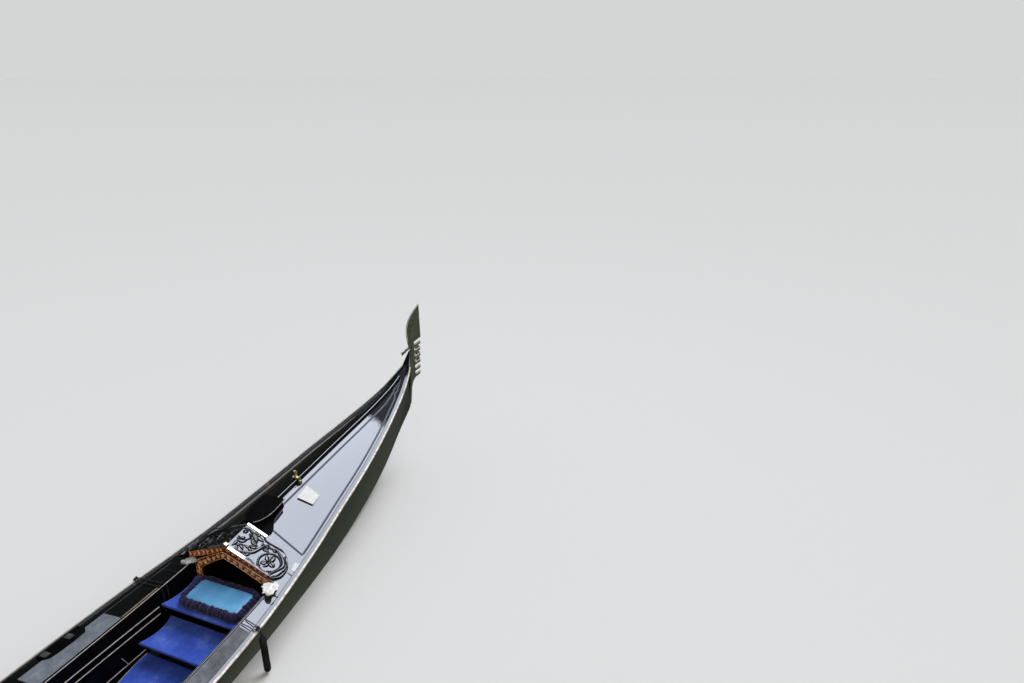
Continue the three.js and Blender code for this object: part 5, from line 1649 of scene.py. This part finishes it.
def padShape(a, b, c, toWorld, buttons=(), dimple=0.014, reach=0.03, power=4.0, pinch=0.025, grid=(70, 90),
             flat=0.42):
    # Padded form with buttons drawn in: a and b span it, c is its depth
    top, bottom = pillow(a, b, c, power, pinch, grid, flat)
    for spotA, spotB in buttons:
        away = np.hypot(top[..., 0] - spotA, top[..., 1] - spotB)
        pull = dimple * np.exp(-((away / reach) ** 2))
        top[..., 2] -= pull + 0.4 * dimple * np.exp(-((away / (2.2 * reach)) ** 2))
    for first, button in enumerate(buttons):
        p = np.array(button)
        others = [np.linalg.norm(np.array(other) - p) for k, other in enumerate(buttons) if k != first]
        for other in buttons[first + 1:]:
            d = np.array(other) - p
            if np.linalg.norm(d) < 1.45 * min(others):
                t = np.clip(((top[..., 0] - p[0]) * d[0] + (top[..., 1] - p[1]) * d[1]) / (d @ d), 0, 1)
                away = np.hypot(top[..., 0] - p[0] - t * d[0], top[..., 1] - p[1] - t * d[1])
                top[..., 2] -= 0.3 * dimple * np.exp(-((away / (0.28 * reach)) ** 2))
    points, faces = closedShell(top, bottom)
    rim = [*top[:, 0], *top[-1, 1:], *top[-2::-1, -1], *top[0, -2:0:-1]]
    world = lambda rows: [toWorld(*row) for row in rows]
    studs = []
    for spotA, spotB in buttons:
        k = np.unravel_index(np.argmin(np.hypot(top[..., 0] - spotA, top[..., 1] - spotB)), top.shape[:2])
        height = top[k][2]
        rows = [(0.001, 0.004), (0.006, 0.0035), (0.009, 0.0012), (0.0095, -0.002), (0.001, -0.003)]
        turn = np.linspace(0, 2 * math.pi, 12, endpoint=False)
        loops = [world([(spotA + r * math.cos(t), spotB + r * math.sin(t), height + z) for t in turn])
                 for r, z in rows]
        studs.append(loft(loops))
    return (world(points), faces), tube(world(rim), 0.0042, 8, True), studs


def addPad(name, shape, replaced):
    pad, piping, studs = shape
    piece = meshPiece(f"{name}_pad", pad, leather, replaced=[replaced], sharp=80)
    meshPiece(f"{name}_piping", together(piping, *studs), binding, sharp=60)


# Passenger seat: boxed base, shaped back and arms with rolled edges, carved crest
seat = {"aft": -1.42, "fore": -0.86, "half": 0.405, "base": 0.315, "top": 0.19, "arm": 0.389,
        "armThickness": 0.026}
seatFoot = floorTop(hullAt(seat["aft"])) + 0.006
backOutline = tracePath((-0.4, seat["top"] - 0.002), (0.4, seat["top"] - 0.002), (0.412, 0.56),
                        ((0.33, 0.64), (0.21, 0.65)), ((0.12, 0.78), (0, 0.8)),
                        ((-0.12, 0.78), (-0.21, 0.65)),
                        ((-0.33, 0.64), (-0.412, 0.56)))
armOutline = tracePath((seat["aft"] + 0.022, seat["top"] - 0.002), (-0.88, seat["top"] - 0.002),
                       ((-0.85, 0.3), (-0.9, 0.36)), ((-0.96, 0.4), (-1.06, 0.38)),
                       ((-1.25, 0.36), (seat["aft"] + 0.022, 0.47)))


def makeSeat():
    top = seat["top"]
    shapes = [box((seat["aft"], seat["fore"]), (-seat["half"], seat["half"]), (top - 0.022, top), 0.006)]
    for x in ((seat["aft"], seat["aft"] + 0.022), (seat["fore"] - 0.022, seat["fore"])):
        shapes.append(box(x, (-seat["base"], seat["base"]), (seatFoot, top - 0.02), 0.002))
    for y in ((-seat["base"], -seat["base"] + 0.022), (seat["base"] - 0.022, seat["base"])):
        shapes.append(box((seat["aft"] + 0.02, seat["fore"] - 0.02), y, (seatFoot, top - 0.02), 0.002))
    shapes.append(plate(backOutline, 0.024, across(seat["aft"] + 0.012), 0.005, 3))
    for side in (1, -1):
        shapes.append(plate(armOutline, seat["armThickness"], upright(side * seat["arm"]), 0.006, 3))
    meshPiece("seat_frame_shaped", together(*shapes), lacquer, replaced=["seat_frame"], sharp=45)
    lines = []
    crest = [(seat["aft"] - 0.0005, y * 0.965, z - 0.012 + 0.012 * (z < 0.5)) for y, z in backOutline[2:]]
    lines.append(tube(crest, 0.004, 8))
    lines.append(tube([(x + 0.025, y, z) for x, y, z in crest], 0.004, 8))
    for side in (1, -1):
        for face in (1, -1):
            y = side * seat["arm"] + face * (seat["armThickness"] / 2 + 0.0005)
            lines.append(tube([(x - 0.004, y, z - 0.012) for x, z in armOutline[2:-1]], 0.0032, 8))
    for low, high in ((-0.29, -0.015), (0.015, 0.29)):
        frame = [(low, 0.035), (high, 0.035), (high, 0.15), (low, 0.15)]
        lines.append(tube([(seat["fore"] + 0.0006, y, z) for y, z in frame], 0.0035, 8, True))
    meshPiece("seat_gilt_lines", together(*lines), brass)


makeSeat()


def crestCarving():
    # Palmette and scrolls on both faces of the seat back, as one relief
    rows, columns = 90, 200
    share, y = np.meshgrid(np.linspace(0, 1, rows), np.linspace(-0.2, 0.2, columns), indexing="ij")
    limit = np.interp(np.abs(y), *zip(*backOutline[19:10:-1])) - 0.009
    z = 0.6 + (limit - 0.6) * share
    strokes = []
    for side in (1, -1):
        strokes.append(spiralStroke((0.03, side * 0.12), 0.03, 0.006, 1.5, 90 * side, 0.006, 0.008, side))
        strokes.append(curveStroke([(0.0, side * 0.03), (0.02, side * 0.07), (0.055, side * 0.1)],
                                   (0.004, 0.008, 0.005), 0.008))
        for angle, size in ((15, 0.06), (40, 0.07), (70, 0.05)):
            strokes.append(leafStroke((0.025, 0.0), angle * side, size, size * 0.17, 35 * side, 0.009))
        for angle in (40, 90, 140):
            strokes.append(leafStroke((0.02 + 0.02 * math.cos(angle), side * 0.14), angle * side, 0.035,
                                      0.007, -50 * side, 0.007))
    strokes.append(leafStroke((0.01, 0.0), 0, 0.11, 0.014, 0, 0.011))
    relief = carveField(z - 0.655, y, strokes, 0.002)[0]
    relief *= np.clip((limit - z) / 0.006, 0, 1)
    sheets = []
    for x, way in ((seat["aft"] + 0.0002, -1), (seat["aft"] + 0.0238, 1)):
        points = np.stack((x + way * (relief - 0.0012), y, z), -1).reshape(-1, 3)
        back = np.stack((np.full_like(y, x - way * 0.002), y, z), -1).reshape(-1, 3)
        sheets.append(closedShell(points.reshape(rows, columns, 3), back.reshape(rows, columns, 3)))
    carved = np.concatenate([np.concatenate((relief.ravel() / 0.009, np.zeros(relief.size)))] * 2)
    return together(*sheets), np.clip(carved, 0, 1)


crest, crestMarks = crestCarving()
meshPiece("crest_carving", crest, gilding, sharp=60, marks={"carved": crestMarks})
# The two cushions: reach along the boat or upward, across, and in depth, and where their buttons sit
seatPad = {"a": (-1.393, -0.874), "b": (-0.368, 0.368), "c": (0.1908, 0.288), "rows": (-1.26, -1.13, -1.0),
           "columns": (-0.24, -0.12, 0, 0.12, 0.24)}
backPad = {"a": (0.291, 0.598), "b": (-0.345, 0.345), "c": (-1.3955, -1.318), "rows": (0.37, 0.47),
           "columns": (-0.24, -0.12, 0, 0.12, 0.24), "dimple": 0.012, "reach": 0.026}
seatButtons = [(x, y) for x in seatPad["rows"] for y in seatPad["columns"]]
shape = padShape(seatPad["a"], seatPad["b"], seatPad["c"], lambda a, b, c: (a, b, c), seatButtons)
addPad("seat", shape, "seat_cushion")
backButtons = [(z, y) for z in backPad["rows"] for y in backPad["columns"]]
shape = padShape(backPad["a"], backPad["b"], backPad["c"], lambda a, b, c: (c, b, a), backButtons,
                 backPad["dimple"], backPad["reach"])
addPad("back", shape, "back_cushion")

# Brass sea horses on the arms: curled tail, arched neck, mane and forelegs
beastSpot = {"x": -0.97, "z": 0.387, "flat": 0.62}
# Rows of x, z and radius in mm, and the sides of each tube: body, mane, legs, tail fin, ears, seat
beastTube = [
    ([(-84, 126, 3), (-97, 104, 4), (-94, 76, 7), (-74, 52, 11), (-46, 38, 15), (-14, 38, 17), (14, 54, 16),
      (26, 80, 13), (28, 106, 11), (42, 128, 11), (58, 126, 8), (66, 114, 5)], 14),
    ([(8, 66, 4), (0, 92, 5), (2, 116, 5), (14, 138, 4), (30, 146, 3)], 8),
    ([(20, 48, 7), (44, 44, 6), (48, 22, 5), (58, 10, 4)], 8),
    ([(6, 40, 7), (20, 26, 6), (14, 10, 5)], 8),
    ([(-84, 126, 4), (-70, 134, 5), (-64, 122, 4), (-74, 114, 3)], 8),
    ([(34, 136, 4), (36, 146, 3), (40, 149, 1.5)], 6),
    ([(-30, 22, 5), (-52, 14, 8), (-66, 6, 4)], 8),
]


def seaHorse(side):
    shapes = [box((beastSpot["x"] - 0.062, beastSpot["x"] + 0.062),
                  (side * seat["arm"] - 0.011, side * seat["arm"] + 0.011),
                  (beastSpot["z"] + 0.0006, beastSpot["z"] + 0.012), 0.003)]
    for rows, sides in beastTube:
        path = smoothPath(np.array(rows) / 1000, 4)
        places = [(beastSpot["x"] + x, side * seat["arm"], beastSpot["z"] + z) for x, z, r in path]
        points, faces = tube(places, path[:, 2], sides)
        points = np.array(points)
        points[:, 1] = side * seat["arm"] + (points[:, 1] - side * seat["arm"]) * beastSpot["flat"]
        shapes.append((points, faces))
    return together(*shapes)


for hand, side in hands.items():
    meshPiece(f"sea_horse_{hand}", seaHorse(side), brass, replaced=[f"brass_beast_{hand}"],
              sharp=60)

# Stools that face the seat: turned legs under a moulded board, a padded top on each
stool = {"x": (-0.34, -0.06), "top": 0.214, "board": 0.024, "port": 0.185, "starboard": -0.375,
         "wide": 0.19, "legs": (-0.315, -0.095), "padX": (-0.33, -0.07), "padZ": (0.2148, 0.264)}
legRows = [(0.011, 0.0), (0.015, 0.006), (0.009, 0.02), (0.012, 0.06), (0.016, 0.1), (0.01, 0.125),
           (0.016, 0.14), (0.015, 0.19)]
for hand, side in hands.items():
    y0, wide = stool[hand], stool["wide"]
    low = stool["top"] - stool["board"]
    shapes = [box(stool["x"], (y0, y0 + wide), (low, stool["top"]), 0.007),
              box((stool["x"][0] + 0.02, stool["x"][1] - 0.02), (y0 + 0.02, y0 + 0.17), (0.16, 0.192),
                  0.002)]
    foot = floorTop(hullAt(-0.25)) + build["gap"] + platform["thickness"] + 0.001
    for x in stool["legs"]:
        for y in (y0 + 0.025, y0 + 0.165):
            rows = [(r, z * (0.19 - foot) / 0.19) for r, z in legRows]
            shapes.append(lathe(rows, (x, y, foot), 16))
    meshPiece(f"stool_frame_{hand}", together(*shapes), lacquer, replaced=[f"stool_{hand}"],
              sharp=45)
    middle = y0 + wide / 2
    shape = padShape(stool["padX"], (middle - 0.085, middle + 0.085), stool["padZ"],
                     lambda a, b, c: (a, b, c), [(-0.2, middle)], 0.01, 0.03, grid=(40, 30))
    addPad(f"stool_{hand}", shape, f"stool_cushion_{hand}")
print("seat and stools made")

# Fenders hung by doubled twisted ropes over the gunwale
fender = {"radius": 0.0262, "length": 0.37, "drop": 0.034, "rope": 0.004, "lay": 0.022, "knot": 0.0056,
          "spots": {"starboard": 1.69, "port": 1.76}}
fenderRows = [(r * fender["radius"], z) for r, z in (
    (0.0323, 0), (0.323, 0), (0.452, 0.002), (0.71, 0.009), (0.935, 0.02), (1, 0.032), (1, 0.06),
    (1.05, 0.063), (1.05, 0.07), (1, 0.073), (1, 0.29), (1.05, 0.293), (1.05, 0.3), (1, 0.303), (1, 0.318),
    (0.903, 0.33), (0.71, 0.34), (0.452, 0.347), (0.355, 0.352), (0.355, 0.366), (0.226, 0.3695),
    (0.0323, 0.3695))]


def twisted(path, radius, lay, strands=3):
    # Laid rope: strands wound round the path
    path = np.asarray(path, dtype=float)
    steps = np.linalg.norm(np.diff(path, axis=0), axis=1)
    along = np.concatenate(([0], np.cumsum(steps)))
    spots = np.linspace(0, along[-1], max(12, int(along[-1] / lay * 9)))
    centre = np.stack([np.interp(spots, along, path[:, k]) for k in range(3)], 1)
    ahead = np.gradient(centre, axis=0)
    ahead /= np.linalg.norm(ahead, axis=1)[:, None]
    up = np.array((0.13, 0.21, 0.97))
    shapes, frames = [], []
    for forward in ahead:
        up = up - forward * up.dot(forward)
        up /= np.linalg.norm(up)
        frames.append((up.copy(), np.cross(forward, up)))
    for k in range(strands):
        angle = 2 * math.pi * (spots / lay + k / strands)
        places = [c + 0.5 * radius * (math.cos(a) * u + math.sin(a) * s)
                  for c, a, (u, s) in zip(centre, angle, frames)]
        shapes.append(tube(places, radius * 0.56, 6))
    return together(*shapes)


for hand, side in hands.items():
    x = fender["spots"][hand]
    h = hullAt(x)
    y = h.middle + side * (h.half + fender["radius"] + 0.001)
    top = h.sheer - fender["drop"]
    meshPiece(f"moulded_fender_{hand}", lathe(fenderRows, (x, y, top - fender["length"])), rubber,
              replaced=[f"fender_{hand}"], sharp=50)
    inner = wellAt(x) - side * h.middle + build["coaming"]
    lift = fender["rope"] + 0.0016
    wall = wellAt(x) - side * h.middle - fender["rope"] - 0.002
    tail = [] if side < 0 else [(22, wall, h.sheer - 0.12), (24, wall - 0.001, h.sheer - 0.02)]
    coil = h.sheer + build["coamingRise"] + lift
    start = (26, inner - 0.012, coil) if side > 0 else (26, inner + 0.01, sideDeckTop(h, 1) + lift)
    half = tail + [start, (22, inner + 0.014, sideDeckTop(h, 0.93) + lift + 0.003),
                   (20, (inner + h.half) / 2, sideDeckTop(h, 0.5) + lift + 0.003),
                   (18, h.half - 0.03, h.sheer + lift + 0.002), (14, h.half + 0.001, h.sheer + lift),
                   (7, h.half + lift + 0.008, h.sheer - 0.012),
                   (4, h.half + fender["radius"] - 0.003, top + fender["rope"] + 0.001)]
    route = half + [(-dx, ry, z) for dx, ry, z in reversed(half)]
    path = smoothPath([(x + dx / 1000, h.middle + side * ry, z) for dx, ry, z in route], 8)
    meshPiece(f"laid_rope_{hand}", twisted(path, fender["rope"], fender["lay"]), tarred,
              replaced=[f"fender_rope_{hand}"], sharp=70)
    knot = [(x + 0.014 * math.cos(t) * (1 + 0.25 * math.sin(3 * t)),
             h.middle + side * (h.half - 0.004) + 0.01 * math.sin(2 * t),
             h.sheer + 0.006 + 0.007 * math.sin(3 * t))
            for t in np.linspace(0, 2 * math.pi, 48, endpoint=False)]
    meshPiece(f"rope_knot_{hand}", tube(knot, fender["knot"], 8, True), tarred)
    ropeLength = float(np.linalg.norm(np.diff(path, axis=0), axis=1).sum())
    print(f"fender rope {hand}: {ropeLength:.3f} m")

# Flower holder clamped over the ridge capping
holder = {"x": 3.042, "width": 0.03, "saddle": 0.034}
holderRows = [(0.001, -0.002), (0.02, -0.002), (0.0215, 0.0), (0.0205, 0.004), (0.012, 0.006),
              (0.008, 0.009), (0.0068, 0.013), (0.0068, 0.018), (0.0115, 0.021), (0.0122, 0.0235),
              (0.009, 0.026), (0.0078, 0.029), (0.009, 0.034), (0.013, 0.039), (0.016, 0.044),
              (0.0172, 0.052), (0.0175, 0.06), (0.0165, 0.0625), (0.0148, 0.062), (0.0125, 0.058),
              (0.012, 0.041), (0.001, 0.04)]


def makeHolder():
    h = hullAt(holder["x"])
    top = camber(h, 0) + capping["rise"] + 0.005
    low = lambda y: camber(h, y) + 0.004
    s = holder["saddle"]
    outline = [(-s - 0.022, low(0.056)), (-s + 0.004, low(0.03)), (-s + 0.004, top), (s - 0.004, top),
               (s - 0.004, low(0.03)), (s + 0.022, low(0.056)), (s + 0.018, low(0.056) + 0.012),
               (s, top + 0.005), (-s, top + 0.005), (-s - 0.018, low(0.056) + 0.012)]
    saddle = plate([(h.middle + y, z) for y, z in outline], holder["width"], across(holder["x"]), 0.002)
    shapes = [saddle, lathe(holderRows, (holder["x"], h.middle, top + 0.004), 28)]
    for side in (1, -1):
        y = h.middle + side * (s + 0.008)
        screw = [(0.001, 0.0), (0.006, 0.0), (0.0065, 0.003), (0.0035, 0.005), (0.0035, 0.009),
                 (0.0085, 0.01), (0.0085, 0.013), (0.001, 0.0145)]
        shapes.append(lathe(screw, (holder["x"], y, low(s + 0.008) + 0.012), 16))
    meshPiece("brass_flower_holder", together(*shapes), paleBrass, replaced=["brass_holder"],
              sharp=40)


makeHolder()

# Rower's place: socket block, sculpted oarlock, ribbed foot rest
socket = {"x": -2.83, "half": 0.07, "reach": 0.058, "bore": (0.032, 0.026), "rise": 0.064}
socketHull = hullAt(socket["x"])
socketY = socketHull.middle - socketHull.half + build["capWidth"] + 0.078
socketTop = camber(socketHull, socketHull.middle - socketY) + socket["rise"]
boreFoot = camber(socketHull, socketHull.middle - socketY - 0.06) + 0.014


def roundRect(halfX, halfY, radius, z, steps=4):
    corners = [(halfX, -halfY, radius), (halfX, halfY, radius), (-halfX, halfY, radius),
               (-halfX, -halfY, radius)]
    return [(socket["x"] + x, socketY + y, z(x, y)) for x, y in rounded(corners, steps)]


def makeSocket():
    onDeck = lambda x, y: camber(hullAt(socket["x"] + x),
                                 hullAt(socket["x"] + x).middle - socketY - y) + build["gap"]
    flat = lambda z: lambda x, y: z
    half, reach = socket["half"], socket["reach"]
    boreX, boreY = socket["bore"]
    loops = [roundRect(half, reach, 0.012, onDeck),
             roundRect(half - 0.002, reach - 0.002, 0.012, flat(socketTop - 0.008)),
             roundRect(half - 0.006, reach - 0.006, 0.01, flat(socketTop - 0.002)),
             roundRect(half - 0.011, reach - 0.011, 0.008, flat(socketTop)),
             roundRect(boreX + 0.002, boreY + 0.002, 0.001, flat(socketTop)),
             roundRect(boreX, boreY, 0.001, flat(socketTop - 0.003)),
             roundRect(boreX, boreY, 0.001, flat(boreFoot))]
    points, faces = loft(loops)
    meshPiece("socket_block", (points, faces), lacquer, replaced=["oarlock_socket"], sharp=40)
    rim = [roundRect(boreX + 0.014, boreY + 0.014, 0.006, flat(socketTop + z)) for z in (0.0003, 0.002)]
    rim += [roundRect(boreX + 0.0015, boreY + 0.0015, 0.001, flat(socketTop + z)) for z in (0.002, 0.0003)]
    meshPiece("socket_plate", loft(rim, True), brass, sharp=30)


makeSocket()
# From the tenon's foot: points, then curves by pull and end, as (x, height over the socket)
lockTurns = (((0.06, 0.11), (0.03, 0.19)), ((0.01, 0.25), (0.066, 0.3)), ((0.11, 0.34), (0.096, 0.392)),
             ((0.07, 0.35), (0.04, 0.352)), ((0.01, 0.372), (0, 0.43)), ((-0.03, 0.452), (-0.062, 0.43)),
             ((-0.058, 0.33), (-0.084, 0.252)), ((-0.07, 0.12), (-0.024, 0.02)))
lockOutline = tracePath((-0.024, boreFoot + 0.0004), (0.024, boreFoot + 0.0004), (0.026, socketTop + 0.02),
                        *(tuple((x, socketTop + z) for x, z in turn) for turn in lockTurns))


def lockPlace(u, v, w):
    # The blade of the oarlock thins towards its crooks
    up = max(v - socketTop - 0.03, 0)
    return (socket["x"] + u, socketY + w * (1 - 0.5 * min(up / 0.4, 1) ** 0.8), v)


meshPiece("carved_oarlock", plate(lockOutline, 0.043, lockPlace, 0.011, 5), walnut, body="lock",
          replaced=["oarlock"], sharp=60)
restLook = {"x": -3.42, "half": 0.13, "outer": -0.168, "inner": -0.072, "ribs": 6,
            "high": 0.09, "low": 0.022}


def makeRest():
    h = hullAt(restLook["x"])
    deck = camber(h, restLook["inner"])
    ys = (h.middle + restLook["outer"], h.middle + restLook["inner"])
    loops = []
    for x in run(restLook["x"] - restLook["half"], restLook["x"] + restLook["half"], 0.02):
        share = (x - restLook["x"] + restLook["half"]) / (2 * restLook["half"])
        top = deck + restLook["high"] + (restLook["low"] - restLook["high"]) * share
        foot = [camber(hullAt(x), hullAt(x).middle - y) + build["gap"] for y in ys]
        corners = [(ys[0], foot[0], 0), (ys[1], foot[1], 0), (ys[1], top, 0.006), (ys[0], top, 0.006)]
        loops.append([(x, y, z) for y, z in rounded(corners)])
    ribs = []
    for k in range(restLook["ribs"]):
        share = (k + 0.7) / restLook["ribs"]
        x = restLook["x"] - restLook["half"] + 2 * restLook["half"] * share
        top = deck + restLook["high"] + (restLook["low"] - restLook["high"]) * share
        ribs.append(tube([(x, y, top + 0.001) for y in np.linspace(ys[0] + 0.006, ys[1] - 0.006, 6)], 0.004,
                         8, squashed=0.8))
    meshPiece("ribbed_foot_rest", together(loft(loops), *ribs), walnut, replaced=["foot_rest"],
              sharp=50)


makeRest()

# Board that closes the well aft, with a moulding round it
aftHull = hullAt(build["wellAft"])
aftFoot, aftReach = floorTop(aftHull) + 0.006, aftHull.floor - 0.07
aftEdge, aftShoulder = wellAt(build["wellAft"]) - build["gap"], aftHull.sheer + build["coamingRise"] - 0.006
moulding = {"share": 0.86, "radius": 0.005, "x": 0.0245, "centre": (0.0, 0.33)}
aftOutline = [(-aftEdge, aftShoulder), (-aftEdge, aftHull.sheer - 0.17), (-aftReach, aftFoot + 0.07),
              (-aftReach, aftFoot), (aftReach, aftFoot), (aftReach, aftFoot + 0.07),
              (aftEdge, aftHull.sheer - 0.17), (aftEdge, aftShoulder),
              (aftHull.middle, camber(aftHull, 0) - 0.004)]
meshPiece("stern_bulkhead", plate(aftOutline, 0.022, across(build["wellAft"] + 0.013), 0.003), lacquer,
          replaced=["stern_board"], sharp=40)
centre = np.array(moulding["centre"])
inset = [centre + (np.array(p) - centre) * moulding["share"] for p in aftOutline]
trim = tube([(build["wellAft"] + moulding["x"], y, z) for y, z in inset], moulding["radius"], 8, True)
meshPiece("bulkhead_moulding", trim, brass)
print("rower's place made")

# Finishes of the nodes that keep their CAD shape
keptNodes = {
    pitch: ["bottom_planking_aft", "bottom_planking_middle", "bottom_planking_fore"],
    insidePaint: ["step_trestle"], tarredOak: ["frames_and_keelson"],
    paleBrass: ["hatch_peak_block"],
}
for finish, names in keptNodes.items():
    for name in names:
        cadPart = frame["nodes"][name]
        for k in range(max(1, len(cadPart.material_slots))):
            if cadPart.material_slots:
                cadPart.material_slots[k].material = finish
            else:
                cadPart.data.materials.append(finish)
